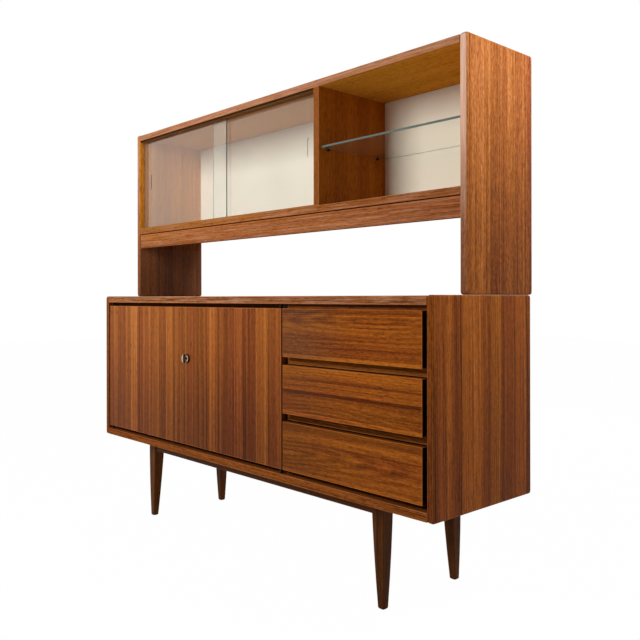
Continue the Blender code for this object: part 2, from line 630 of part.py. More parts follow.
def build_display_case(cabinet, wood, back_mat):
    """Sides, top, floor board, divider, back and apron of the display unit."""
    sides = {}
    for name, sign in (("left", -1), ("right", 1)):
        x = sorted((sign * DISPLAY_IN, sign * DISPLAY_HALF_W))
        low = (x[0], DISPLAY_FRONT, DISPLAY_FOOT)
        high = (x[1], DISPLAY_BACK, SIDE_TOP + DISPLAY_HEIGHT)
        sides[name] = board(f"display_side_{name}", low, high, wood, cabinet, EDGE_ROUND, CORNER_ROUND)
    span = DISPLAY_IN - TOUCH
    top = board("display_top", (-span, DISPLAY_FRONT, DISPLAY_CEILING),
                (span, DISPLAY_BACK, DISPLAY_TOP), wood, cabinet, SMALL_ROUND)
    board("display_floor", (-span, DISPLAY_FRONT, BAY_UNDERSIDE),
          (span, DISPLAY_BACK_Y - TOUCH, BAY_FLOOR), wood, cabinet, SMALL_ROUND)
    divider = board("display_divider", (GLASS_BAY_RIGHT, DISPLAY_FRONT, BAY_FLOOR + TOUCH),
                    (BAY_LEFT, DISPLAY_BACK_Y - TOUCH, DISPLAY_CEILING - TOUCH), wood, cabinet)
    board("display_back", (-span, DISPLAY_BACK_Y, BAY_UNDERSIDE),
          (span, DISPLAY_BACK, DISPLAY_CEILING - TOUCH), back_mat, cabinet)
    apron_y = DISPLAY_FRONT + APRON_SETBACK
    apron_top = BAY_UNDERSIDE - APRON_GAP
    board("display_apron", (-span, apron_y, apron_top - APRON_H),
          (span, apron_y + APRON_T, apron_top), wood, cabinet, SMALL_ROUND)
    return sides["right"], top, divider


def build_tracks(cabinet, wood, top):
    """Two grooved strips for the sliding panes: one let into the top, one on the bay's floor."""
    y = (TRACK_FRONT, TRACK_FRONT + TRACK_D)
    upper = board("track_top", (TRACK_LEFT, y[0], TOP_TRACK_Z),
                  (TRACK_RIGHT, y[1], TOP_TRACK_Z + TOP_TRACK_H), wood, cabinet)
    lower = board("track_bottom", (TRACK_LEFT, y[0], BOTTOM_TRACK_Z),
                  (TRACK_RIGHT, y[1], BOTTOM_TRACK_Z + BOTTOM_TRACK_H), wood, cabinet)
    cut_box(top, "track_rebate", (-DISPLAY_IN - CUT_OVER, y[0] - TOUCH, DISPLAY_CEILING - CUT_OVER),
            (TRACK_RIGHT + TOUCH, y[1] + TOUCH, TOP_TRACK_Z + TOP_TRACK_H + TOUCH))
    return upper, lower


def build_glass_doors(cabinet, glass, upper, lower):
    """Two panes that slide past each other in the tracks, each with a ground finger pull."""
    for name, row, x0 in (("left", 0, PANE_LEFT), ("right", 1, PANE_RIGHT - GLASS_DOOR_W)):
        y0 = DISPLAY_FRONT + GLASS_SETBACK + row * GLASS_PITCH
        y1 = y0 + GLASS_DOOR_T
        carrier = make_empty(f"glass_door_{name}_slide", (x0, y0, GLASS_BOTTOM), cabinet)
        pane = board(f"glass_door_{name}", (x0, y0, GLASS_BOTTOM), (x0 + GLASS_DOOR_W, y1, GLASS_TOP),
                     glass, carrier)
        pull_x = x0 + PULL_INSET if name == "left" else x0 + GLASS_DOOR_W - PULL_INSET
        pull_z = (GLASS_BOTTOM + GLASS_TOP) / 2 + PULL_RISE
        cut_box(pane, f"pull_{name}", (pull_x - PULL_W / 2, y0 - CUT_OVER, pull_z - PULL_H / 2),
                (pull_x + PULL_W / 2, y0 + PULL_DEPTH, pull_z + PULL_H / 2))
        groove_y = (y0 - GLASS_FIT, y1 + GLASS_FIT)
        ends = (TRACK_LEFT - CUT_OVER, TRACK_RIGHT + CUT_OVER)
        cut_box(upper, f"upper_groove_{name}", (ends[0], groove_y[0], TOP_TRACK_Z - CUT_OVER),
                (ends[1], groove_y[1], TOP_TRACK_Z + TOP_GROOVE))
        cut_box(lower, f"lower_groove_{name}",
                (ends[0], groove_y[0], BOTTOM_TRACK_Z + BOTTOM_TRACK_H - BOTTOM_GROOVE),
                (ends[1], groove_y[1], BOTTOM_TRACK_Z + BOTTOM_TRACK_H + CUT_OVER))


def build_glass_shelf(cabinet, glass, steel, side, divider):
    """The shelf of the open bay on four stepped pins, two in the divider and two in the side."""
    board("glass_shelf",
          (BAY_LEFT + GLASS_SHELF_END_GAP, DISPLAY_FRONT + GLASS_SHELF_SETBACK, GLASS_SHELF_Z),
          (DISPLAY_IN - GLASS_SHELF_END_GAP, DISPLAY_BACK_Y - GLASS_SHELF_END_GAP,
           GLASS_SHELF_Z + GLASS_SHELF_T), glass, cabinet)
    rows = (("front", DISPLAY_FRONT + PIN_FRONT_INSET), ("back", DISPLAY_BACK - PIN_BACK_INSET))
    bore = PIN_R + PIVOT_FIT
    deep = PIN_IN_WOOD + TOUCH
    for row, y in rows:
        for name, wall, sign, host in (("left", BAY_LEFT, 1, divider), ("right", DISPLAY_IN, -1, side)):
            start = wall - deep if sign > 0 else wall - CUT_OVER
            cut_bore(host, f"pin_{row}_{name}", bore, (start, y, PIN_Z), deep + CUT_OVER, "X")
            lathe(f"shelf_pin_{row}_{name}",
                  [(PIN_R, -sign * PIN_IN_WOOD), (PIN_R, sign * TOUCH), (PIN_HEAD_R, sign * TOUCH),
                   (PIN_HEAD_R, sign * PIN_HEAD_L)],
                  (wall, y, PIN_Z), steel, cabinet, "X")


def build():
    """Build the whole cabinet."""
    clear_scene()
    case_wood = make_material("case_walnut", (0.30, 0.13, 0.055), 0.42)
    front_wood = make_material("front_walnut", (0.24, 0.10, 0.040), 0.40)
    dark_wood = make_material("leg_walnut", (0.055, 0.026, 0.014), 0.40)
    box_wood = make_material("drawer_box_wood", (0.52, 0.38, 0.22), 0.55)
    runner_wood = make_material("runner_beech", (0.48, 0.32, 0.17), 0.55)
    track_wood = make_material("track_brown", (0.16, 0.08, 0.04), 0.45)
    board_mat = make_material("back_hardboard", (0.22, 0.13, 0.07), 0.65)
    cream = make_material("back_cream", (0.80, 0.74, 0.62), 0.60)
    glass = make_material("clear_glass", (0.80, 0.90, 0.86), 0.03, alpha=0.35)
    steel = make_material("dark_steel", (0.16, 0.15, 0.14), 0.45, 1.0)
    nickel = make_material("worn_nickel", (0.66, 0.60, 0.50), 0.32, 1.0)

    cabinet = make_empty("cabinet", (0.0, 0.0, 0.0))
    side, top, bottom, divider = build_base_case(cabinet, case_wood, board_mat)
    build_door_compartment(cabinet, case_wood, side, divider)
    build_drawer_frame(cabinet, case_wood, runner_wood)
    for index in range(1, DRAWER_COUNT + 1):
        build_drawer(cabinet, index, front_wood, box_wood, board_mat)
    doors = build_doors(cabinet, front_wood, steel, top, bottom)
    build_lock(doors["right"], nickel)
    build_legs(cabinet, dark_wood)
    build_leg_rail(cabinet, dark_wood)
    bay_side, display_top, bay_divider = build_display_case(cabinet, case_wood, cream)
    tracks = build_tracks(cabinet, track_wood, display_top)
    build_glass_doors(cabinet, glass, *tracks)
    build_glass_shelf(cabinet, glass, steel, bay_side, bay_divider)
    cabinet.location.y = FRONT_Y


build()
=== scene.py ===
# %% [markdown]
# # A sideboard with a display unit
# The imported model gives every board, leg, pane and pin its true place. This lesson dresses
# it: veneer that runs the right way on each board, glass with green edges, a key in its
# lock, joints on the drawer boxes, nails in the back, and a white studio to stand in.
# Loading comes first.

# %% Load the imported model
import math

import bmesh
import bpy
import numpy as np
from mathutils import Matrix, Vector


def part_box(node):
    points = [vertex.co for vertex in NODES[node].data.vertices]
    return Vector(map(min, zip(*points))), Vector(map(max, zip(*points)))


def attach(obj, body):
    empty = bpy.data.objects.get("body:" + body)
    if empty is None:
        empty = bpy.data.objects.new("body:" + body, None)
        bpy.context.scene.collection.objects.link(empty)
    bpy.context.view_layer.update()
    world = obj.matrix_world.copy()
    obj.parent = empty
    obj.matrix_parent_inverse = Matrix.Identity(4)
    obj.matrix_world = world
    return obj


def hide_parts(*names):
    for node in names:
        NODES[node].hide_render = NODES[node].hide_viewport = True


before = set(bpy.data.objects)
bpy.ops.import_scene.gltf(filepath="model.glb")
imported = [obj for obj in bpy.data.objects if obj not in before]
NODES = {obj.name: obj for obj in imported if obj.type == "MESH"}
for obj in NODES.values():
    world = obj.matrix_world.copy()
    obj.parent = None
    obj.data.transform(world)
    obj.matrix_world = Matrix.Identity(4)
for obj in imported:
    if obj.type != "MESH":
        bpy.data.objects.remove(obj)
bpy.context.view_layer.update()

# %% [markdown]
# ## Where the boards are
# Later steps put pieces and patterns on boards, so they ask the model for its corners
# instead of repeating sizes. `corners` returns two plain arrays for one board.

# %% Corners of a board
def corners(node):
    """Lowest and highest corner of a board, in metres."""
    low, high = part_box(node)
    return np.array(low, float), np.array(high, float)


FRONT_Y = float(corners("base_side_right")[0][1])
print("front plane at y =", round(FRONT_Y, 4))

# %% [markdown]
# ## The camera
# The picture is taken at the height of the sideboard's top, level, from the right front.
# A level camera keeps upright edges upright. A small downward shift of the film, not a tilt,
# puts the object in the frame, and the long side runs away to the left. `placed` puts any
# new data into the scene as an object, and later steps use it for their pieces.

# %% Camera
CAMERA_AT = (1.8823, FRONT_Y - 1.3508, 0.8042)
CAMERA_YAW = 47.2835
CAMERA_ROLL = 0.0785


def placed(name, data):
    """New object that holds some data, linked into the scene."""
    obj = bpy.data.objects.new(name, data)
    bpy.context.collection.objects.link(obj)
    return obj


cam_data = bpy.data.cameras.new("studio_camera")
cam_data.lens = 42.0
cam_data.sensor_width = 36.0
cam_data.shift_y = -0.0346
camera = placed("studio_camera", cam_data)
camera.location = CAMERA_AT
camera.rotation_euler = [math.radians(a) for a in (90.0, CAMERA_ROLL, CAMERA_YAW)]
bpy.context.scene.camera = camera
bpy.context.scene.view_settings.view_transform = "Standard"
print("camera at", np.round(CAMERA_AT, 3).tolist(), "with a lens of", cam_data.lens, "mm")

# %% [markdown]
# ## A small toolbox for node materials
# Wood, glass and metal all come from shader nodes. Wiring nodes by hand takes many lines, so
# `Recipe` wraps one material: each call adds a node and joins it, and a plain number goes
# straight onto the socket. The world has a node tree too, so the two helpers that join and
# reckon stand alone.

# %% Joining nodes
def join(tree, socket, value):
    """Wire an output to a socket, or set a plain number or colour on it."""
    if isinstance(value, bpy.types.NodeSocket):
        tree.links.new(value, socket)
    else:
        socket.default_value = value


def math_node(tree, operation, *values):
    """Result of one Math node."""
    node = tree.nodes.new("ShaderNodeMath")
    node.operation = operation
    for socket, value in zip(node.inputs, values):
        join(tree, socket, value)
    return node.outputs[0]


# %% Node toolbox
class Recipe:
    """One material being built from nodes."""

    def __init__(self, name):
        self.material = bpy.data.materials.new(name)
        self.material.use_nodes = True
        self.tree = self.material.node_tree
        self.shader = self.tree.nodes["Principled BSDF"]
        self.position = self.add("ShaderNodeTexCoord").outputs["Object"]

    def add(self, kind, sockets=None, **settings):
        """New node, with its settings and the values of its sockets."""
        node = self.tree.nodes.new(kind)
        for key, value in settings.items():
            setattr(node, key, value)
        for key, value in (sockets or {}).items():
            self.put(node.inputs[key], value)
        return node

    def put(self, socket, value):
        """Join an output or a value to a socket."""
        join(self.tree, socket, value)

    def finish(self, **sockets):
        """The material, once the last sockets of its shader are filled."""
        for key, value in sockets.items():
            self.put(self.shader.inputs[key.replace("_", " ")], value)
        return self.material

    def math(self, operation, *values):
        """Result of one Math node."""
        return math_node(self.tree, operation, *values)

    def axes(self):
        """The object's own X, Y and Z, in metres."""
        split = self.add("ShaderNodeSeparateXYZ", {0: self.position})
        return {"X": split.outputs[0], "Y": split.outputs[1], "Z": split.outputs[2]}

    def vector(self, x, y, z):
        """Three numbers as one vector."""
        return self.add("ShaderNodeCombineXYZ", {0: x, 1: y, 2: z}).outputs[0]

    def noise(self, vector, scale=1.0, detail=2.0, roughness=0.5):
        """Noise about one half."""
        node = self.add("ShaderNodeTexNoise", {"Vector": vector, "Scale": scale, "Detail": detail,
                                              "Roughness": roughness})
        return node.outputs[0]

    def sway(self, vector, detail=2.0, roughness=0.5):
        """Noise about zero, stretched until it swings from about -1 to 1."""
        return self.math("MULTIPLY_ADD", self.noise(vector, 1.0, detail, roughness), 4.0, -2.0)

    def ramp(self, value, stops, interpolation="LINEAR"):
        """Colour or grey looked up in a list of stops."""
        node = self.add("ShaderNodeValToRGB", {0: value})
        ramp = node.color_ramp
        ramp.interpolation = interpolation
        while len(ramp.elements) < len(stops):
            ramp.elements.new(0.5)
        for element, (place, colour) in zip(ramp.elements, stops):
            element.position = place
            element.color = (*colour, 1.0) if hasattr(colour, "__len__") else (colour,) * 3 + (1.0,)
        return node.outputs[0]

    def step(self, value, low, high, to_low=0.0, to_high=1.0):
        """Smooth step from one number to another while the value goes from low to high."""
        node = self.add("ShaderNodeMapRange", {"Value": value, "From Min": low, "From Max": high,
                                              "To Min": to_low, "To Max": to_high},
                        interpolation_type="SMOOTHSTEP")
        return node.outputs[0]

    def hypot(self, first, second):
        """Length of the hypotenuse over two socket values."""
        squares = [self.math("MULTIPLY", value, value) for value in (first, second)]
        return self.math("SQRT", self.math("ADD", *squares))

    def gap(self, value, place):
        """Distance from a place along one axis."""
        return self.math("ABSOLUTE", self.math("SUBTRACT", value, float(place)))

    def mix(self, share, first, second):
        """The first colour, with a share of the second laid over it."""
        node = self.add("ShaderNodeMix", data_type="RGBA")
        self.put(node.inputs[0], share)
        for socket, value in ((node.inputs[6], first), (node.inputs[7], second)):
            self.put(socket, value if isinstance(value, bpy.types.NodeSocket) else (*value, 1.0))
        return node.outputs[2]

    def bump(self, height, distance, strength=1.0):
        """Normal of a surface that a height has roughened."""
        node = self.add("ShaderNodeBump", {"Height": height, "Distance": distance, "Strength": strength})
        return node.outputs["Normal"]


# %% [markdown]
# ## Veneer
# A sliced veneer shows broad light and dark bands, narrow dark streaks that run the length
# of the board, fine fibres, and short dashes where the knife opened pores. All of them are
# noise stretched along the grain, so one recipe serves every board. The stripes aren't ruled:
# `wander` bends them a little, and more on flat-sliced wood. Two colour scales, one red and
# one golden, are mixed by a slow noise, as heartwood changes from leaf to leaf. Pictures of
# wood would repeat from board to board and would hold the light they were taken in.

# %% Colours of the wood
RED_WOOD = ((0.027, 0.0054, 0.0012), (0.128, 0.0295, 0.0062), (0.325, 0.092, 0.0230), (0.60, 0.225, 0.082))
GOLD_WOOD = ((0.034, 0.0085, 0.0013), (0.152, 0.0440, 0.0062), (0.380, 0.126, 0.0230), (0.64, 0.265, 0.078))
WALNUT = (RED_WOOD, GOLD_WOOD)
INNER_WOOD = (((0.060, 0.017, 0.0014), (0.256, 0.085, 0.0072), (0.480, 0.185, 0.0200), (0.66, 0.300, 0.060)),
              ((0.072, 0.022, 0.0016), (0.292, 0.105, 0.0090), (0.520, 0.215, 0.0250), (0.70, 0.350, 0.074)))
SCALE_STOPS = (0.0, 0.34, 0.68, 1.0)


def tinted(colours, tint):
    """The same colour scales with red, green and blue each turned up or down."""
    return [[tuple(v * t for v, t in zip(colour, tint)) for colour in scale] for scale in colours]


SHADED_WALNUT = tinted(WALNUT, (1.0, 0.90, 0.58))


def wood_colour(r, total, share, colours):
    """The tone looked up in two colour scales, mixed by share."""
    first, second = (r.ramp(total, tuple(zip(SCALE_STOPS, scale))) for scale in colours)
    return r.mix(share, first, second)


# %% [markdown]
# ## Edges and leaves
# The arrises of a board are rubbed lighter. A point is near an arris when it is close to two
# faces at once, so the middle one of its three distances to the faces is small. Front edges
# are paler in streaks: sun bleach, and a painted sheen. A leaf's edge shows as a thin dark
# joint, stronger where its neighbour differs more.

# %% Edge wear and veneer leaves
WEAR_WIDTH = 0.0022
WEAR_JITTER = 0.0012
SKIN = (0.0006, 0.0010)
FRONT_SKIN = (0.0006, 0.0014)
# Pale front edges: sun bleach, and painted sheen where the edges catch the light.
BLEACH_AND_SHEEN_COLOUR = (0.73, 0.46, 0.34)
BLEACH_AND_SHEEN_STREAKS = 0.22
# From and to, in metres over the display's floor, and the share of the bleach and painted sheen there.
BLEACH_AND_SHEEN_RISE = (-0.135, 0.30, 0.2, 1.95)
STANDS_OVER = 0.1


def edge_mask(r, axes, low, high, jitter):
    """1 along a board's arrises, 0 on its faces."""
    gaps = []
    for k, name in enumerate("XYZ"):
        below = r.math("SUBTRACT", axes[name], float(low[k]))
        above = r.math("SUBTRACT", float(high[k]), axes[name])
        gaps.append(r.math("MINIMUM", below, above))
    a, b, c = gaps
    small = r.math("MINIMUM", a, b)
    large = r.math("MAXIMUM", a, b)
    middle = r.math("MAXIMUM", small, r.math("MINIMUM", large, c))
    ragged = r.math("MULTIPLY_ADD", jitter, WEAR_JITTER, middle)
    return r.step(ragged, WEAR_WIDTH * 0.4, WEAR_WIDTH, 1.0, 0.0)


def inner_face(r, axes, plane):
    """1 within SKIN of one face: plane is its axis, its place, and its start in depth and height."""
    name, place, front, floor = plane
    behind = r.step(axes["Y"], float(front) + 0.0008, float(front) + 0.0018)
    above = r.step(axes["Z"], float(floor) - 0.010, float(floor) + 0.010)
    inside = r.math("MULTIPLY", behind, above)
    return r.math("MULTIPLY", r.step(r.gap(axes[name], place), *SKIN, 1.0, 0.0), inside)


def front_edge(r, axes, low, high, streaks, amount):
    """Share of sun bleach and painted sheen on a board's front edge, in streaks, and less below the
    display's floor.
    """
    front = r.step(r.math("SUBTRACT", axes["Y"], float(low[1])), *FRONT_SKIN, 1.0, 0.0)
    floor = float(corners("display_floor")[0][2])
    share = r.math("MULTIPLY_ADD", streaks, BLEACH_AND_SHEEN_STREAKS, amount)
    if low[2] < floor < high[2] - STANDS_OVER:
        start, stop, least, most = BLEACH_AND_SHEEN_RISE
        share = r.math("MULTIPLY", share, r.step(axes["Z"], floor + start, floor + stop, least, most))
    return r.math("MULTIPLY", front, share)


def leaf_tone(r, place, leaves):
    """Tone of the leaf at a place; leaves is a list of (where it begins, tone) with a last end."""
    start, stop = leaves[0][0], leaves[-1][0]
    share = r.math("DIVIDE", r.math("SUBTRACT", place, start), stop - start)
    stops = [((at - start) / (stop - start), tone) for at, tone in leaves[:-1]]
    return r.ramp(share, stops, "CONSTANT")


def leaf_joint(r, place, leaves, half):
    """Difference in tone across a joint, within half a joint's width of it."""
    before = leaf_tone(r, r.math("SUBTRACT", place, half), leaves)
    after = leaf_tone(r, r.math("ADD", place, half), leaves)
    return r.math("ABSOLUTE", r.math("SUBTRACT", after, before))


# %% [markdown]
# ## The recipe
# All stretched noises share one set of coordinates: `side` across the grain, bent a little
# and shifted from leaf to leaf, and `shift` along it. Their swings add up to a tone, which
# the colour scales turn into wood. Pores, patches, bleach and wear then go over it in turn.
# Each noise below is four numbers: cells per metre across the grain and along it, detail
# and roughness. A step from nothing to all is two numbers, such as LINE_EDGE.

# %% Veneer recipe
BANDS = (19.0, 0.30, 2.0, 0.5)
STREAKS = (80.0, 0.45, 3.0, 0.75)
THREADS = (170.0, 0.7, 3.0, 0.7)
FIBRES = (480.0, 7.0, 2.0, 0.7)
FLECKS = (300.0, 95.0, 2.0, 0.6)
DASHES = (820.0, 42.0, 1.0, 0.4)
BEND_CELLS = (1.6, 3.0)
SEED_SHIFT = 3.1
JOINT_HALF = 0.0012
LEAF_BEND = 0.0006
LEAF_SHIFT = 3.7
LEAF_HUE = 2.2
HUE_SPREAD = (170.0, 0.12)
LINE_EDGE = (0.53, 0.66)
PORE_EDGE = (0.34, 0.47)
PORE_DARK = 0.4
DEEP_SHARE = 0.6


def veneer(name, node, along, across, tone=0.45, colours=WALNUT, broad=0.10, streak=0.16, lines=0.26,
           fine=0.08, fleck=0.06, wander=0.006, pores=0.5, leaves=None, joint=0.9, wear=0.35,
           gloss=0.42, sheen=0.045, gold=0.5, blotch=(8.0, 0.5, 0.75), seed=0.0, extra=None,
           inner=None, inner_tint=(1.0, 1.0, 1.0), bleach_and_sheen=0.0, overlays=()):
    """Wood for one board: leaves, bands, streaks, lines and fibres add up to a tone."""
    r = Recipe(name)
    axes = r.axes()
    low, high = corners(node)
    depth = [a for a in "XYZ" if a not in (along, across)][0]
    grain, flat, deep = axes[along], axes[across], axes[depth]
    shift = r.math("ADD", grain, seed * SEED_SHIFT)
    slow = [r.math("MULTIPLY", value, cells) for value, cells in zip((shift, flat), BEND_CELLS)]
    bend = r.sway(r.vector(*slow, seed), 1.0)
    side = r.math("MULTIPLY_ADD", bend, wander, r.math("ADD", flat, seed))
    total = tone
    if leaves:
        leaf_place = r.math("MULTIPLY_ADD", bend, LEAF_BEND, flat)
        leaf = leaf_tone(r, leaf_place, leaves)
        total = r.math("ADD", r.math("SUBTRACT", leaf, 0.5), tone)
        side = r.math("MULTIPLY_ADD", leaf, LEAF_SHIFT, side)

    def stretched(over, length):
        return r.vector(r.math("MULTIPLY", side, over), r.math("MULTIPLY", deep, over * DEEP_SHARE),
                        r.math("MULTIPLY", shift, length))

    bands, streaks, fibres, flecks = (r.sway(stretched(*kind[:2]), *kind[2:])
                                      for kind in (BANDS, STREAKS, FIBRES, FLECKS))
    threads, dashes = (r.noise(stretched(*kind[:2]), 1.0, *kind[2:]) for kind in (THREADS, DASHES))
    for part, amount in ((bands, broad), (streaks, streak), (fibres, fine), (flecks, fleck)):
        total = r.math("MULTIPLY_ADD", part, amount, total)
    total = r.math("MULTIPLY_ADD", r.step(threads, *LINE_EDGE), -lines, total)
    if leaves:
        total = r.math("MULTIPLY_ADD", leaf_joint(r, leaf_place, leaves, JOINT_HALF), -joint, total)
    if extra:
        total = r.math("ADD", total, extra(r, axes, bend))
    hue = r.math("MULTIPLY_ADD", r.sway(stretched(*blotch[:2]), 1.0), blotch[2], gold)
    if leaves:
        hue = r.math("MULTIPLY_ADD", r.math("SUBTRACT", leaf, 0.5), LEAF_HUE, hue)
        spread = r.math("SINE", r.math("MULTIPLY", leaf, HUE_SPREAD[0]))
        hue = r.math("MULTIPLY_ADD", spread, HUE_SPREAD[1], hue)
    colour = wood_colour(r, total, hue, colours)
    if inner:
        clean = wood_colour(r, total, hue, tinted(INNER_WOOD, inner_tint))
        colour = r.mix(inner_face(r, axes, inner), colour, clean)
    pore = r.step(dashes, *PORE_EDGE, 1.0, 0.0)
    colour = r.mix(r.math("MULTIPLY", pore, pores), colour, [v * PORE_DARK for v in colours[0][0]])
    for overlay in overlays:
        colour = overlay(r, axes, colour)
    if bleach_and_sheen:
        colour = r.mix(front_edge(r, axes, low, high, fibres, bleach_and_sheen), colour, BLEACH_AND_SHEEN_COLOUR)
    worn = r.math("MULTIPLY", edge_mask(r, axes, low, high, fibres), wear)
    colour = r.mix(worn, colour, colours[0][3])
    shine = r.math("MULTIPLY_ADD", fibres, 0.05, gloss)
    height = r.math("SUBTRACT", r.math("MULTIPLY", fibres, 0.2), pore)
    r.shader.inputs["Specular IOR Level"].default_value = sheen
    return r.finish(Base_Color=colour, Roughness=shine, Normal=r.bump(height, 0.00018, 0.4))


# %% [markdown]
# ## Patches
# Some marks lie in places of their own: a dull foot, wood kept pale behind glass and
# brightened there as painted light, cut ends painted black as shade, and yellowed paint. A
# patch is one more layer of a board's finish, a single colour laid on inside a few spans.
# Vertex colours could hold such marks, but a board's mesh has points only at its corners,
# and a distance in the material is as sharp or as soft as the mark.

# %% Patches
def patch(spans, paint, amount):
    """Overlay of one colour. A span is an axis, a middle, and the distances with none and with all."""
    def rule(r, axes, colour):
        share = amount
        for name, middle, none, full in spans:
            inside = r.step(r.gap(axes[name], middle), float(none), float(full))
            share = r.math("MULTIPLY", inside, share)
        return r.mix(share, colour, paint)
    return rule


def between(axis, start, stop, soft):
    """Span from start to stop, softened outwards at both ends."""
    return (axis, (start + stop) / 2, (stop - start) / 2 + soft, (stop - start) / 2)


def on_face(axis, place):
    """Span that holds one face of a board, and nothing of the faces beside it."""
    return (axis, place, *SKIN[::-1])


def paint_node(node, material):
    """Give a board of the model its finish."""
    for slot in NODES[node].material_slots:
        slot.material = material


# %% [markdown]
# ## Sides
# The sides stand with their grain upright. A solid strip 18 mm wide closes the front edge,
# and behind it the veneer is jointed from leaves some 20 to 80 mm wide. The display unit's
# sides have faded to orange. All sides get lighter towards the top: painted light from above,
# and on the display unit also sun fading. Inside, the wood behind the panes has stayed pale and
# is brightened further as painted light for the bays, and the foot of each side, over the
# sideboard's top, has gone dull. The inner faces of the base's sides are darkened as painted
# shade inside the case. Leaves could be thin meshes, but a real joint has no depth, so a ramp
# of constant steps draws them.

# %% Side panels
STRIP_W = 0.018


def panel_leaves(low, high, widths, tones):
    """Leaves from the front strip to the back edge: each entry is where one begins and its tone."""
    start, stop = float(low[1]), float(high[1])
    widths = np.array(widths, float)
    edges = start + STRIP_W + np.cumsum(widths) / widths.sum() * (stop - start - STRIP_W)
    places = [start, start + STRIP_W, *edges.tolist()]
    return list(zip(places, [*tones, tones[-1]]))


def fade_and_top_light(base, amount, span):
    """Tone added with height above a level, up to an amount at the top of a span: painted light from above,
    and on the display unit also sun fading.
    """
    def rule(r, axes, bend):
        return r.step(axes["Z"], base, base + span, 0.0, amount)
    return rule


BASE_LEAVES = panel_leaves(*corners("base_side_right"), (13, 9, 19, 7, 14, 15, 12, 6),
                           (0.40, 0.51, 0.44, 0.61, 0.48, 0.53, 0.43, 0.55, 0.44))
UPPER_LEAVES = panel_leaves(*corners("display_side_right"), (58, 20, 72, 40, 50, 26),
                            (0.53, 0.605, 0.53, 0.445, 0.49, 0.535, 0.50))
UPPER_FRONT, UPPER_FOOT = corners("display_side_right")[0][1:].tolist()
BAY_FLOOR = float(corners("display_floor")[0][2]) + 0.010
BAY_TOP = float(corners("display_top")[0][2])
GAP_TOP = float(corners("display_apron")[0][2])
PANE_Y = float(corners("glass_door_left")[0][1])
BASE_FOOT = float(corners("base_side_right")[0][2])
DULL_FOOT = ((0.25, 0.15, 0.10), 0.25)
# Behind the panes the inner wood is paler, and brightened further as painted light for the bay.
PALE_AND_LIT_BEHIND_GLASS = ((0.74, 0.37, 0.13), 0.55)
# The inner faces of the base's sides are darkened, most on the right beside the drawers: painted shade
# inside the case.
BASE_INSIDE_SHADE = {"left": (0.7, 0.6, 0.5), "right": (0.15, 0.09, 0.08)}
for side, inside, bleach_and_sheen in (("left", 1, 0.13), ("right", 0, 0.49)):
    name = f"base_side_{side}"
    paint_node(name, veneer(name, name, "Z", "Y", tone=0.44, leaves=BASE_LEAVES, joint=0.5, seed=0.37,
                            fine=0.12, streak=0.20, fleck=0.10, colours=SHADED_WALNUT,
                            extra=fade_and_top_light(BASE_FOOT, 0.12, 0.53),
                            inner=("X", corners(name)[inside][0], FRONT_Y, BASE_FOOT),
                            inner_tint=BASE_INSIDE_SHADE[side]))
    name = f"display_side_{side}"
    inward = on_face("X", corners(name)[inside][0])
    in_gap = between("Z", UPPER_FOOT, GAP_TOP, 0.002)
    in_bay = between("Z", BAY_FLOOR + 0.01, BAY_TOP, 0.01)
    glazed = between("Y", PANE_Y + 0.002, corners(name)[1][1], 0.002)
    paint_node(name, veneer(name, name, "Z", "Y", tone=0.46, leaves=UPPER_LEAVES, joint=0.4, seed=1.91,
                            colours=tinted(WALNUT, (1.0, 0.93, 1.0)), fine=0.13, fleck=0.16,
                            extra=fade_and_top_light(UPPER_FOOT, 0.27, 0.60), bleach_and_sheen=bleach_and_sheen,
                            inner=("X", corners(name)[inside][0], UPPER_FRONT, BAY_FLOOR),
                            inner_tint=(1.65, 1.35, 0.85),
                            overlays=(patch([inward, in_gap], *DULL_FOOT),
                                      patch([inward, in_bay, glazed], *PALE_AND_LIT_BEHIND_GLASS))))
for name, leaves in (("base", BASE_LEAVES), ("display", UPPER_LEAVES)):
    widths = np.diff([at for at, _ in leaves][1:])
    print("leaves on a", name, "side:", len(widths), "from", np.round(1000 * widths.min()), "to",
          np.round(1000 * widths.max()), "mm wide")

# %% [markdown]
# ## Long boards
# Tops, floors and the apron run their grain along X, and so do the rails between the drawers.
# Each is a board of its own, so each has its own tone and its own seed.
# The inner faces of the display unit never saw the sun: they are golden, not red. A point is
# on an inner face when it lies on that face's plane, so the mask is a distance to a plane.

# %% Long boards and dividers
LONG_BOARDS = {
    "base_top": (0.54, 0.11), "base_bottom": (0.48, 0.83), "display_apron": (0.57, 5.2),
    # door_rail and drawer_rail_top get high tones: painted light, as they stand deep in shade behind the
    # gaps.
    "door_rail": (0.74, 4.1), "drawer_rail_top": (0.72, 6.3), "drawer_rail_upper": (0.52, 7.7),
    "drawer_rail_lower": (0.30, 8.9), "door_shelf": (0.40, 9.4), "display_top": (0.67, 2.3),
    "display_floor": (0.55, 3.7),
}
BLEACH_AND_SHEEN_BOARDS = {"display_top": 0.19, "base_top": 0.08, "display_floor": 0.03, "display_apron": 0.05}
INNER_FACES = {"display_top": ("Z", BAY_TOP, UPPER_FRONT, BAY_FLOOR),
               "display_floor": ("Z", corners("display_floor")[1][2], UPPER_FRONT, BAY_FLOOR)}
BAYS_X = [float(corners(name)[k][0]) for name, k in (("display_side_left", 1), ("display_divider", 0),
                                                     ("display_divider", 1), ("display_side_right", 0))]
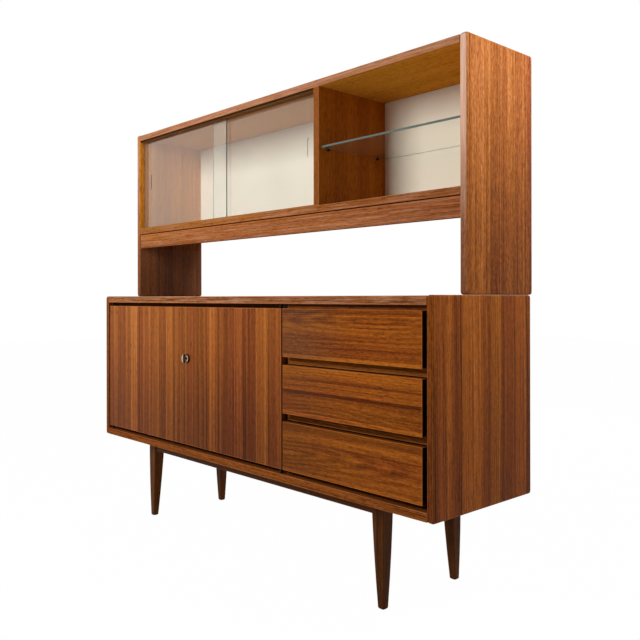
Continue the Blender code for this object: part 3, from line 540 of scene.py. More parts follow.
# The glazed bay's ceiling and the display top's inner faces are lightened: pale wood behind glass, and
# painted light for the bay.
glazed_bay = between("X", *BAYS_X[:2], 0.008)
OVERLAYS = {"display_top": [patch([on_face("Z", BAY_TOP), glazed_bay], (0.76, 0.37, 0.10), 0.50)]}
for name, (tone, seed) in LONG_BOARDS.items():
    across = "Z" if "apron" in name or "rail" in name else "Y"
    calm = dict(streak=0.07, lines=0.08, fine=0.05) if name in INNER_FACES else {}
    paint_node(name, veneer(name, name, "X", across, tone=tone, seed=seed, inner=INNER_FACES.get(name),
                            sheen=0.0, inner_tint=(1.5, 1.5, 1.3) if name == "display_top" else (1, 1, 1),
                            bleach_and_sheen=BLEACH_AND_SHEEN_BOARDS.get(name, 0.0), overlays=OVERLAYS.get(name, ()), **calm))
# The base's divider gets a low tone: painted shade, as it stands deep in the gaps between the fronts.
paint_node("base_divider", veneer("base_divider", "base_divider", "Z", "Y", tone=0.22, seed=4.4))
paint_node("display_divider", veneer("display_divider", "display_divider", "Z", "Y", tone=0.45, seed=4.4,
                                     streak=0.06, lines=0.06, fine=0.04, broad=0.07,
                                     inner=("X", BAYS_X[2], UPPER_FRONT, BAY_FLOOR),
                                     inner_tint=(1.35, 1.08, 0.65)))
print("bays of the display unit, from and to:", np.round(BAYS_X, 3).tolist())

# %% [markdown]
# ## Doors
# Both doors were veneered as one sheet, so the stripes run on across the gap between them.
# The sheet is jointed from leaves of unlike width. A few are bright, and a dark line marks
# each joint. A regular pattern would look ruled, so the leaves are a list of places along X,
# each with its tone, and both doors read the same list.

# %% Doors
DOOR_LEAVES = ((-0.769, 0.52), (-0.738, 0.57), (-0.700, 0.51), (-0.655, 0.56), (-0.608, 0.64),
               (-0.556, 0.46), (-0.520, 0.51), (-0.485, 0.54), (-0.443, 0.57), (-0.405, 0.50),
               (-0.366, 0.60), (-0.310, 0.45), (-0.268, 0.49), (-0.228, 0.50), (-0.190, 0.41),
               (-0.152, 0.46), (-0.120, 0.56), (-0.054, 0.38), (-0.012, 0.43), (0.030, 0.47),
               (0.082, 0.40), (0.135, 0.56), (0.200, 0.41), (0.262, 0.41))
DOOR_FOOT = float(corners("door_right")[0][2])
for side in ("left", "right"):
    name = f"door_{side}"
    # The doors' extra tone grows towards the top: painted light from above.
    paint_node(name, veneer(name, name, "Z", "X", tone=0.352, broad=0.05, streak=0.22, wander=0.002,
                            lines=0.20, colours=tinted(WALNUT, (1.0, 0.94, 0.80)), joint=2.2,
                            leaves=DOOR_LEAVES, extra=fade_and_top_light(DOOR_FOOT, 0.22, 0.46)))
print("leaves on the doors:", len(DOOR_LEAVES) - 1)

# %% [markdown]
# ## Drawer fronts
# Flat-sliced sheets, laid level: the grain flows in wide bands and opens into long nested
# arches. An arch is a ring round a point, drawn out along the grain, so it lies where its
# point is put, which a ready-made wave pattern wouldn't do. A paler strip is let into the
# lower edge of each front. The left of each front is darker and greyer, and the cut ends are
# painted black: painted shade in the narrow gaps beside them.

# %% Drawer fronts
LIP_H = 0.0105
ARCH_STRETCH = 0.10
ARCH_BEND = 0.016
ARCH_RINGS = 560.0
ARCH_SWING = 0.07
ARCH_FADE = (0.015, 0.085, 0.15)
LIP_TONE = 0.12
RISE_SPAN = (0.12, 0.45)


def drawer_figure(low, centre, rise):
    """Arches round a centre from the front's lower left corner, a pale strip, and a rise to the right."""
    def rule(r, axes, bend):
        off = r.math("SUBTRACT", axes["Z"], float(low[2]) + centre[1])
        off = r.math("MULTIPLY_ADD", bend, ARCH_BEND, off)
        far = r.math("MULTIPLY", r.math("SUBTRACT", axes["X"], float(low[0]) + centre[0]), ARCH_STRETCH)
        radius = r.hypot(off, far)
        rings = r.math("SINE", r.math("MULTIPLY", radius, ARCH_RINGS))
        near = r.step(radius, *ARCH_FADE[:2], ARCH_SWING, ARCH_SWING * ARCH_FADE[2])
        above = r.math("SUBTRACT", axes["Z"], float(low[2]))
        strip = r.step(above, LIP_H - 0.0004, LIP_H, LIP_TONE, 0.0)
        paler = r.step(axes["X"], *(float(low[0]) + at for at in RISE_SPAN), 0.0, rise)
        return r.math("MULTIPLY_ADD", rings, near, r.math("ADD", strip, paler))
    return rule


DRAWER_LOOKS = (
    dict(bands=((0.0, 0.52), (LIP_H, 0.48), (0.046, 0.53), (0.074, 0.48), (0.104, 0.54), (0.124, 0.44)),
         centre=(0.36, 0.105), rise=0.055, gold=0.50, dull_left=((0.037, 0.040, 0.034), 0.29)),
    dict(bands=((0.0, 0.49), (LIP_H, 0.41), (0.062, 0.22), (0.070, 0.58), (0.098, 0.57), (0.116, 0.61)),
         centre=(0.10, -0.02), rise=0.0, gold=0.60, dull_left=((0.04, 0.034, 0.018), 0.20)),
    dict(bands=((0.0, 0.48), (LIP_H, 0.48), (0.040, 0.56), (0.066, 0.50), (0.092, 0.53), (0.116, 0.42)),
         centre=(0.03, 0.055), rise=0.035, gold=0.78, dull_left=((0.05, 0.022, 0.006), 0.32)),
)
DRAWER_WOOD = tinted(WALNUT, (1.12, 0.95, 0.46))
# The ends of each front are painted black: painted shade in the gaps beside the fronts.
END_SHADE = ((0.004, 0.002, 0.001), 0.97)
DULL_LEFT_FADE = (0.30, 0.05)
for index, look in enumerate(DRAWER_LOOKS, start=1):
    name = f"drawer_{index}_front"
    low, high = corners(name)
    leaves = [(float(low[2]) + at, tone) for at, tone in look["bands"]] + [(float(high[2]), 0.5)]
    middle, half = (low[0] + high[0]) / 2, (high[0] - low[0]) / 2
    # Black ends: painted shade in the gaps beside the front.
    ends = patch([("X", middle, half - 0.0006, half - 0.0002)], *END_SHADE)
    # Each front is darker and greyer towards its left end.
    dull_left = patch([("X", low[0], *DULL_LEFT_FADE)], *look["dull_left"])
    paint_node(name, veneer(name, name, "X", "Z", tone=0.44, wander=0.005, leaves=leaves, joint=0.15,
                            broad=0.09, streak=0.11, fleck=0.09, lines=0.15, seed=0.21 * index,
                            blotch=(20.0, 2.6, 0.9), gold=look["gold"], colours=DRAWER_WOOD,
                            extra=drawer_figure(low, look["centre"], look["rise"]),
                            overlays=(ends, dull_left)))
print("bands on each drawer front:", [len(look["bands"]) for look in DRAWER_LOOKS])

# %% [markdown]
# ## Legs
# Solid wood, stained dark so that the case seems to float. Wood this dark could do with one
# plain noise, but the veneer's recipe, with a darker scale, keeps grain and arrises alike.

# %% Legs
LEG_SCALE = ((0.014, 0.0034, 0.0005), (0.055, 0.0150, 0.0019), (0.120, 0.036, 0.0048), (0.21, 0.074, 0.012))
LEG_WOOD = (LEG_SCALE, LEG_SCALE)
LEG_NAMES = [name for name in NODES if name.startswith("leg_")]
for k, name in enumerate(LEG_NAMES):
    along, across = ("X", "Z") if "rail" in name else ("Z", "Y")
    paint_node(name, veneer(name, name, along, across, tone=0.52, colours=LEG_WOOD,
                            pores=0.3, wear=0.2, seed=0.7 * k))
print("stained dark:", LEG_NAMES)

# %% [markdown]
# ## Drawer boxes, runners and tracks
# Drawer boxes are pale wood, the runners beech, and the tracks dark wood with a golden lining.
# A dovetail joint is flush when it is well made, so it needs no cut in the solid. It is drawn
# in the finish, from the distances to the board's end and to the middle of each pin.

# %% Drawer boxes, runners and tracks
PALE_SCALE = ((0.25, 0.14, 0.06), (0.40, 0.26, 0.13), (0.52, 0.36, 0.20), (0.62, 0.46, 0.28))
PALE_WOOD = (PALE_SCALE, PALE_SCALE)
TRACK_SCALE = ((0.006, 0.003, 0.001), (0.020, 0.008, 0.003), (0.040, 0.016, 0.006), (0.08, 0.034, 0.013))
TRACK_WOOD = (TRACK_SCALE, TRACK_SCALE)
END_GRAIN = (0.21, 0.115, 0.052)
JOINT_LINE = (0.05, 0.025, 0.01)
LINING = (0.30, 0.115, 0.022)
PIN_PITCH = 0.0275
PIN_HALF = 0.15
PIN_FLARE = 0.07


def dovetails(low, high, thick):
    """End grain of the pins at both ends of a drawer side: each pin flares towards the board's end."""
    def rule(r, axes, colour):
        inward = r.math("MINIMUM", r.math("SUBTRACT", axes["Y"], float(low[1])),
                        r.math("SUBTRACT", float(high[1]), axes["Y"]))
        place = r.math("FRACT", r.math("DIVIDE", r.math("SUBTRACT", axes["Z"], float(low[2])), PIN_PITCH))
        half = r.math("MULTIPLY_ADD", inward, -PIN_FLARE / thick, PIN_HALF + PIN_FLARE)
        gap = r.math("SUBTRACT", r.gap(place, 0.5), half)
        near = r.step(inward, thick - 0.0002, thick, 1.0, 0.0)
        pin = r.math("MULTIPLY", near, r.step(gap, -0.006, 0.006, 1.0, 0.0))
        line = r.math("MULTIPLY", near, r.step(r.math("ABSOLUTE", gap), 0.006, 0.016, 0.6, 0.0))
        return r.mix(line, r.mix(pin, colour, END_GRAIN), JOINT_LINE)
    return rule


def track_lining(low):
    """A track is lined with the case's golden wood; only the front edge of the upper one stays black."""
    def rule(r, axes, colour):
        back_from_front = r.math("SUBTRACT", axes["Y"], float(low[1]))
        lined = r.step(back_from_front, 0.0008, 0.0016) if low[2] > BAY_FLOOR + 0.1 else 1.0
        return r.mix(lined, colour, LINING)
    return rule


BOX_BOARDS = [name for name in NODES if name.startswith("drawer_") and ("_side_" in name or "_back" in name)]
for name in NODES:
    if name in BOX_BOARDS:
        along = "Y" if "_side_" in name else "X"
        low, high = corners(name)
        overlays = [dovetails(low, high, float(high[0] - low[0]))] if "_side_" in name else ()
        paint_node(name, veneer(name, name, along, "Z", tone=0.55, colours=PALE_WOOD, pores=0.15,
                                gloss=0.55, wear=0.1, seed=0.31 * len(name), overlays=overlays))
    if name.startswith("drawer_runner"):
        paint_node(name, veneer(name, name, "Y", "X", tone=0.45, colours=PALE_WOOD, pores=0.2, gloss=0.6))
    if name.startswith("track_"):
        paint_node(name, veneer(name, name, "X", "Y", tone=0.5, colours=TRACK_WOOD, pores=0.2, wear=0.0,
                                gloss=0.6, overlays=[track_lining(corners(name)[0])]))
print("boards of the drawer boxes:", len(BOX_BOARDS))

# %% [markdown]
# ## Flat boards
# The back of the sideboard and the drawers' bottoms are brown hardboard, and the back of the
# display unit is painted cream. In the open bay, which has no glass, the paint has yellowed,
# and the warm tint there is also painted light, for the warm light the wood around it casts.
# A plain colour would look like plastic, so slow clouds, small flecks and a fine bump go in.

# %% Flat boards
def painted_board(name, colour, grit, rough, overlay=None):
    """A flat board with a faint roller texture, slow changes of shade and a little dust."""
    r = Recipe(name)
    cloud = r.noise(r.position, scale=3.0, detail=3.0)
    grain = r.noise(r.position, scale=900.0, detail=2.0)
    flecks = r.noise(r.position, scale=70.0, detail=4.0)
    shade = r.math("MULTIPLY_ADD", flecks, 0.08, r.math("MULTIPLY_ADD", cloud, 0.16, 0.88))
    tint = r.add("ShaderNodeHueSaturation", {"Value": shade, "Color": (*colour, 1.0)}).outputs[0]
    if overlay:
        tint = overlay(r, r.axes(), tint)
    r.shader.inputs["Specular IOR Level"].default_value = 0.2
    return r.finish(Base_Color=tint, Roughness=r.math("MULTIPLY_ADD", grain, 0.1, rough),
                    Normal=r.bump(grain, grit, 0.5))


front_face = on_face("Y", corners("display_back")[0][1])
open_bay = between("X", *BAYS_X[2:], 0.010)
# Yellowed paint, and a warm tint that is painted light in the open bay.
yellowed_and_warm_lit = patch([open_bay, front_face], (0.90, 0.825, 0.65), 0.6)
paint_node("display_back", painted_board("cream_board", (0.90, 0.835, 0.73), 0.0001, 0.5, yellowed_and_warm_lit))
hardboard = painted_board("brown_hardboard", (0.20, 0.11, 0.055), 0.0003, 0.6)
BROWN_BOARDS = ["base_back", *(n for n in NODES if n.endswith("_bottom") and n.startswith("drawer_"))]
for name in BROWN_BOARDS:
    paint_node(name, hardboard)
print("brown hardboard:", BROWN_BOARDS)

# %% [markdown]
# ## Metal
# The pivots and shelf pins are blackened steel; the lock and key are nickel, yellowed with
# age. One even colour would look new, so a fine noise changes the tint and the roughness.

# %% Metal
def metal(name, colour, rough, wear, metallic=1.0):
    """Metal whose roughness and tint wander a little; wear is the tint's darkest share."""
    r = Recipe(name)
    rub = r.noise(r.position, scale=180.0, detail=4.0, roughness=0.6)
    tint = r.mix(r.step(rub, 0.4, 0.7), colour, [v * wear for v in colour])
    r.shader.inputs["Metallic"].default_value = metallic
    r.shader.inputs["Specular IOR Level"].default_value = 0.5 * metallic
    return r.finish(Base_Color=tint, Roughness=r.math("MULTIPLY_ADD", rub, 0.2, rough - 0.1))


STEEL = metal("dark_steel", (0.018, 0.014, 0.012), 0.6, 0.6, 0.1)
NICKEL = metal("worn_nickel", (0.62, 0.55, 0.43), 0.28, 0.7)
STEEL_PINS = [name for name in NODES if "pivot" in name or "shelf_pin" in name]
for name in STEEL_PINS:
    paint_node(name, STEEL)
for name in ("lock_bolt", "lock_case"):
    paint_node(name, NICKEL)
print("steel pins:", len(STEEL_PINS))

# %% [markdown]
# ## Lock and key
# A black collar stands out round the lock's barrel. Its face is dull, with a painted highlight
# on the right of its rim. The key's bow stands out further, and its outer rim is bright: rubbed
# where fingers hold it, and a painted highlight.
# Both are turned or swept shapes: a profile goes round an axis, or round an oval path. Curves
# with a bevel could make them too, but a grid's points follow straight from the radii. The
# places come from the model: the key's box gives the axis and the size of the bow.

# %% Turned and swept surfaces
def band_faces(rows, columns):
    """Quads of a grid that closes on itself along its columns, and along its rows as well."""
    index = np.arange(rows * columns).reshape(rows, columns)
    down, across = np.roll(index, -1, axis=0), np.roll(index, -1, axis=1)
    return np.stack([index, across, np.roll(down, -1, axis=1), down], -1)


def turned_ring(profile, centre, steps=64):
    """Closed profile of (radius, place along Y) turned round an axis through the centre."""
    turn = np.linspace(0, 2 * np.pi, steps, endpoint=False)
    radius, along = np.array(profile).T
    points = np.stack([centre[0] + np.outer(np.cos(turn), radius),
                       centre[1] + np.broadcast_to(along, (steps, len(radius))),
                       centre[2] + np.outer(np.sin(turn), radius)], -1)
    return points.reshape(-1, 3), band_faces(steps, len(radius)).reshape(-1, 4)


FULLNESS = 0.7


def oval_ring(centre, path, section, steps=72, sides=16):
    """Bar swept round an oval in the Y-Z plane; path and section give half sizes.

    The section is a cosine and a sine raised to a power below one, so it is rounder than a
    rectangle and fuller than an ellipse.
    """
    turn = np.linspace(0, 2 * np.pi, steps, endpoint=False)[:, None]
    around = np.linspace(0, 2 * np.pi, sides, endpoint=False)[None, :]
    wide, thick = (half * np.sign(wave) * np.abs(wave) ** FULLNESS
                   for half, wave in zip(section, (np.cos(around), np.sin(around))))
    points = np.stack([centre[0] + np.broadcast_to(thick, (steps, sides)),
                       centre[1] + np.cos(turn) * (path[0] + wide),
                       centre[2] + np.sin(turn) * (path[1] + wide)], -1)
    return points.reshape(-1, 3), band_faces(steps, sides).reshape(-1, 4)


SMOOTH_ANGLE = 40


def turn_outwards(mesh):
    """Make every face of each closed shell point out."""
    shape = bmesh.new()
    shape.from_mesh(mesh)
    bmesh.ops.recalc_face_normals(shape, faces=shape.faces)
    shape.to_mesh(mesh)
    shape.free()


def new_piece(name, shells, material, body):
    """One object from closed shells, facing outwards, riding on a body."""
    mesh = bpy.data.meshes.new(name)
    starts = np.cumsum([0] + [len(points) for points, _ in shells[:-1]])
    faces = [face for (_, shell), start in zip(shells, starts) for face in (shell + start).tolist()]
    mesh.from_pydata(np.concatenate([points for points, _ in shells]).tolist(), [], faces)
    mesh.materials.append(material)
    turn_outwards(mesh)
    mesh.shade_smooth()
    mesh.set_sharp_from_angle(angle=math.radians(SMOOTH_ANGLE))
    piece = placed(name, mesh)
    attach(piece, body)
    return piece


# %% [markdown]
# ## Rubbed metal and painted highlights
# Old nickel is dark where nobody touches it and bright where they do, and the bright share
# also carries painted highlights. Two materials with a hard line between them would look
# painted, so one material is mixed by a rule: distances from the key's axis, or round the bow,
# say how much of the bright metal shows.

# %% Finish of the lock and key
DARK_ROUGH = 0.42
RUBBED_SMOOTHER = 0.12


def rubbed_and_highlit_metal(name, dark, bright, rule):
    """Metal gone dark with age, bright where a rule puts rubbing by hands and painted highlights."""
    r = Recipe(name)
    cloud = r.noise(r.position, scale=420.0, detail=3.0, roughness=0.6)
    share = rule(r, r.axes(), cloud)
    return r.finish(Base_Color=r.mix(share, dark, bright),
                    Metallic=r.math("MULTIPLY_ADD", share, -0.75, 1.0),
                    Roughness=r.math("MULTIPLY_ADD", share, -RUBBED_SMOOTHER, DARK_ROUGH))


KEY_LOW, KEY_HIGH = corners("key")
KEY_X = float(KEY_LOW[0] + KEY_HIGH[0]) / 2
KEY_Z = float(KEY_LOW[2] + KEY_HIGH[2]) / 2
BOW_BAR = (0.0028, 0.0017)
BOW_PATH = (0.0047, float(KEY_HIGH[2] - KEY_LOW[2]) / 2 - BOW_BAR[0])
BOW_Y = float(KEY_LOW[1]) + BOW_BAR[0] + BOW_PATH[0]


def bow_rub_and_highlight(r, axes, cloud):
    """Bright on the outer rim of the bow's far half: rubbed by fingers, and a painted highlight."""
    out = r.step(axes["Y"], BOW_Y - 0.0075, BOW_Y - 0.0005, 1.0, 0.10)
    off_y = r.math("DIVIDE", r.math("SUBTRACT", axes["Y"], BOW_Y), BOW_PATH[0])
    off_z = r.math("DIVIDE", r.math("SUBTRACT", axes["Z"], KEY_Z), BOW_PATH[1])
    rim = r.step(r.hypot(off_y, off_z), 0.98, 1.14, 0.05, 1.0)
    return r.math("MULTIPLY", r.math("MULTIPLY", out, rim), r.step(cloud, 0.2, 0.6, 0.75, 1.0))


def ring_highlight(r, axes, cloud):
    """Black wall, a dull turned face, and a painted highlight as a bright crescent at its right rim; it
    needs no cloud.
    """
    reach = r.hypot(r.math("SUBTRACT", axes["X"], KEY_X), r.math("SUBTRACT", axes["Z"], KEY_Z))
    front = r.step(axes["Y"], FRONT_Y - 0.0046, FRONT_Y - 0.0038, 1.0, 0.0)
    marks = r.math("MULTIPLY_ADD", r.math("SINE", r.math("MULTIPLY", reach, 9000.0)), 0.03, 0.20)
    dull = r.math("MULTIPLY", r.step(reach, FACE_R - 0.0004, FACE_R + 0.0002, 1.0, 0.0), marks)
    rim = r.math("MULTIPLY", r.step(reach, FACE_R - 0.0030, FACE_R - 0.0018),
                 r.step(reach, FACE_R + 0.0004, FACE_R + 0.0010, 1.0, 0.0))
    rim = r.math("MULTIPLY", rim, r.step(axes["X"], KEY_X + 0.001, KEY_X + 0.005))
    return r.math("MULTIPLY", front, r.math("MAXIMUM", dull, rim))


# %% [markdown]
# ## The ring and the key's three parts
# The ring's profile is a list of (radius, depth) points, turned round the key's axis. The key
# is a bow, a shaft and a bit with a step cut in it. They are three closed shells in one mesh,
# because a key is one piece, and a Boolean union would gain nothing that shows.

# %% Ring and key
BLACK_METAL = (0.010, 0.005, 0.002)
DARK_METAL = (0.034, 0.018, 0.009)
# PALE_METAL is the colour of rubbed metal and of the painted highlights.
PALE_METAL = (0.98, 0.80, 0.58)
FACE_R = 0.0106
RING_PROFILE = np.array([(0.0140, 0.0001), (0.0142, 0.0008), (0.0140, 0.0048), (0.0134, 0.0058),
                         (0.0124, 0.0062), (0.0112, 0.0058), (FACE_R, 0.0052), (0.0034, 0.0050),
                         (0.0030, 0.0046), (0.0030, 0.0017), (0.0118, 0.0017), (0.0118, 0.0001)])
lock_ring = turned_ring(RING_PROFILE * (1, -1), (KEY_X, FRONT_Y, KEY_Z))
new_piece("lock_ring", [lock_ring], rubbed_and_highlit_metal("lock_ring", BLACK_METAL, PALE_METAL, ring_highlight),
          "door_right")

SHAFT_R = float(KEY_HIGH[0] - KEY_LOW[0]) / 2
BIT_DEPTH = 0.006
BIT_DROP = 0.008
BIT_HALF = 0.001
SHAFT_END = float(KEY_HIGH[1])
COLLAR_Y = BOW_Y + BOW_PATH[0]
shaft = turned_ring([(0.0001, COLLAR_Y - 0.0012), (0.0021, COLLAR_Y - 0.0012), (0.0024, COLLAR_Y - 0.0006),
                     (0.0024, COLLAR_Y + 0.0012), (SHAFT_R - 0.0001, COLLAR_Y + 0.0016),
                     (SHAFT_R - 0.0001, SHAFT_END - 0.0005), (SHAFT_R - 0.0006, SHAFT_END),
                     (0.0001, SHAFT_END)], (KEY_X, 0.0, KEY_Z), 24)


def extruded(outline, half, centre_x):
    """Closed outline in the Y-Z plane given a thickness along X: four rings, the outer two shrunk."""
    outline = np.array(outline, float)
    middle = outline.mean(axis=0)
    loops = [middle + (outline - middle) * share for share in (0.02, 1.0, 1.0, 0.02)]
    places = [centre_x - half, centre_x - half, centre_x + half, centre_x + half]
    points = np.stack([np.column_stack([np.full(len(outline), x), loop]) for x, loop in zip(places, loops)])
    return points.reshape(-1, 3), band_faces(4, len(outline)).reshape(-1, 4)


bit_top, bit_foot = KEY_Z - SHAFT_R + 0.0004, KEY_Z - BIT_DROP
bit_back = SHAFT_END - 0.0003
bit = extruded([(bit_back - BIT_DEPTH, bit_top), (bit_back - BIT_DEPTH, bit_foot),
                (bit_back - 0.0040, bit_foot), (bit_back - 0.0040, bit_foot + 0.0022),
                (bit_back - 0.0024, bit_foot + 0.0022), (bit_back - 0.0024, bit_foot),
                (bit_back, bit_foot), (bit_back, bit_top)], BIT_HALF, KEY_X)
bow = oval_ring((KEY_X, BOW_Y, KEY_Z), BOW_PATH, BOW_BAR)
key = new_piece("worn_key", [bow, shaft, bit], rubbed_and_highlit_metal("worn_key", DARK_METAL, PALE_METAL, bow_rub_and_highlight),
                "key")
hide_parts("key")
print("faces of the key:", len(key.data.polygons))

# %% [markdown]
# ## The tongue of the apron
# The apron hangs under the display unit's floor with a narrow shadow line between them. A
# tongue, set back from the front, closes that line: light can't pass through it. Its shape is
# an outline in depth and height, carried along the whole apron.

# %% Apron tongue
TONGUE_INSET = 0.004
TONGUE_DEPTH = 0.008
HAIR = 0.0001
apron_low, apron_high = corners("display_apron")
tongue_y = apron_low[1] + TONGUE_INSET + np.array([0.0, TONGUE_DEPTH])
tongue_z = np.array([apron_high[2] + HAIR, corners("display_floor")[0][2] - HAIR])
tongue = extruded([(tongue_y[0], tongue_z[0]), (tongue_y[1], tongue_z[0]), (tongue_y[1], tongue_z[1]),
                   (tongue_y[0], tongue_z[1])], float(apron_high[0] - apron_low[0]) / 2 - HAIR,
                  float(apron_high[0] + apron_low[0]) / 2)
# The tongue's low tone is painted shade in the shadow line.
new_piece("apron_tongue", [tongue], veneer("apron_tongue", "display_apron", "X", "Z", tone=0.2, wear=0.0,
                                           sheen=0.0), "cabinet")
print("tongue height:", round(float(np.ptp(tongue_z)) * 1000, 2), "mm")

# %% [markdown]
# ## Nails and screws
# Small flat-headed nails hold the sideboard's back, a hand's width apart, and four domed
# screws hold the lock. One head is a low dome, a profile of six points turned round its own
# axis: steep at the rim and nearly flat in the middle. Blender's sphere, pressed flat, would
# have no rim. All heads of a kind are one array: one dome, shifted to each place.

# %% Heads
def heads(places, radius, height, around=12):
    """Closed domes on the X-Z plane at places, rising along Y: a profile of (radius, height) shares."""
    rings = np.array([(0.02, 0.0), (1.0, 0.0), (0.96, 0.35), (0.72, 0.80), (0.40, 0.97), (0.02, 1.0)])
    turn = np.linspace(0, 2 * np.pi, around, endpoint=False)
    dome = np.stack([np.outer(rings[:, 0], np.cos(turn)) * radius,
                     np.outer(rings[:, 1], np.ones(around)) * height,
                     np.outer(rings[:, 0], np.sin(turn)) * radius], -1).reshape(-1, 3)
    faces = band_faces(len(rings), around).reshape(-1, 4)
    return [(dome + np.array(place), faces) for place in places]


NAIL_STEP = 0.115
NAIL_INSET = 0.007
NAIL_ROWS = 5
NAIL_HEAD = (0.0022, 0.0004)
SCREW_INSET = 0.005
SCREW_HEAD = (0.0026, 0.0010)
back_low, back_high = corners("base_back")
nail_x = np.linspace(back_low[0] + NAIL_INSET, back_high[0] - NAIL_INSET,
                     int((back_high[0] - back_low[0]) / NAIL_STEP) + 1)
nail_z = np.linspace(back_low[2] + NAIL_INSET, back_high[2] - NAIL_INSET, NAIL_ROWS)
nails = [(x, back_high[1], z) for x in nail_x for z in nail_z[[0, -1]]]
post_x = float(np.mean([c[0] for c in corners("base_divider")]))
nails += [(x, back_high[1], z) for x in (nail_x[0], post_x, nail_x[-1]) for z in nail_z[1:-1]]
new_piece("back_nails", heads(nails, *NAIL_HEAD), STEEL, "cabinet")

case_low, case_high = corners("lock_case")
screws = [(x, case_high[1], z) for x in (case_low[0] + SCREW_INSET, case_high[0] - SCREW_INSET)
          for z in (case_low[2] + SCREW_INSET, case_high[2] - SCREW_INSET)]
new_piece("lock_screws", heads(screws, *SCREW_HEAD), NICKEL, "door_right")
print("nails:", len(nails), "screws:", len(screws))

# %% [markdown]
# ## Glass
# Float glass is clear through its face and green through its edge, where the light crosses
# more of it. Lamps can't shine through glass that bends light without a great deal of
# sampling, so for lamp rays alone the glass is a clear film. What the panes mirror is a
# little warm, as the reflection in old glass under a film of dust is.

# %% Glass
DUST = 0.975
GLASS_IOR = 1.5
WARM_MIRROR = (1.0, 0.92, 0.72, 1.0)


def glass(name, colour, film, clearness):
    """Polished glass with faint clouds of dust, which lets the light of lamps straight through."""
    r = Recipe(name)
    dust = r.noise(r.position, scale=9.0, detail=3.0)
    tint = r.mix(r.step(dust, 0.45, 0.75), colour, [v * DUST for v in colour])
    r.shader.inputs["Transmission Weight"].default_value = clearness
    r.shader.inputs["IOR"].default_value = GLASS_IOR
    r.shader.inputs["Specular Tint"].default_value = WARM_MIRROR
    r.finish(Base_Color=tint, Roughness=0.0)
    clear = r.add("ShaderNodeBsdfTransparent", {0: (*film, 1.0)}).outputs[0]
    lamp_ray = r.add("ShaderNodeLightPath").outputs["Is Shadow Ray"]
    both = r.add("ShaderNodeMixShader", {0: lamp_ray, 1: r.shader.outputs[0], 2: clear})
    r.put(r.tree.nodes["Material Output"].inputs[0], both.outputs[0])
    return r.material


CLEAR = glass("clear_glass", (0.975, 0.99, 0.97), (0.965, 0.98, 0.965), 0.975)
EDGE = glass("green_glass_edge", (0.085, 0.125, 0.105), (0.3, 0.4, 0.36), 0.12)
print("glass finishes:", CLEAR.name, "and", EDGE.name)

# %% [markdown]
# ## Panes and shelf
# A pane is two grids, one for each face, joined round their rim. Near the rim the faces
# draw in along a quarter circle, which is the ground arris. The finger pull is a trough with
# round ends: over the distance from a short upright line its depth is a quarter of an
# ellipse. A Boolean could cut it, but would leave long thin faces that show in glass.

# %% Grid lines, rim and faces of a plate
ARRIS = 0.0007


def lines_for(low, high, dense=None):
    """Grid lines from low to high: three close to each end, and a dense stretch where asked."""
    end = ARRIS * np.array([0.0, 0.35, 1.0])
    coarse = np.linspace(low + ARRIS, high - ARRIS, 9)
    extra = np.linspace(*dense) if dense else np.array([])
    return np.unique(np.round(np.concatenate([low + end, high - end, coarse, extra]), 7))


def to_rim(u, v, us, vs):
    """Distance from the nearest of a plate's four edges."""
    return np.minimum.reduce([u - us[0], us[-1] - u, v - vs[0], vs[-1] - v])


def plate_faces(rows, columns):
    """Quads of two grids that face away from each other, and of the wall between their rims."""
    size = rows * columns
    index = np.arange(size).reshape(rows, columns)
    face = np.stack([index[:-1, :-1], index[1:, :-1], index[1:, 1:], index[:-1, 1:]], -1).reshape(-1, 4)
    loop = np.concatenate([index[:, 0], index[-1, 1:], index[-2::-1, -1], index[0, -2:0:-1]])
    after = np.roll(loop, -1)
    wall = np.stack([loop, loop + size, after + size, after], -1)
    return np.concatenate([face, face[:, ::-1] + size, wall])


# %% A plate of glass
PULL_SIZE = (0.0040, 0.0250, 0.0015)
PULL_LINES = (15, 41)
PULL_MARGINS = (1.2, 1.1)
SMOOTH_MARGIN = 1.05


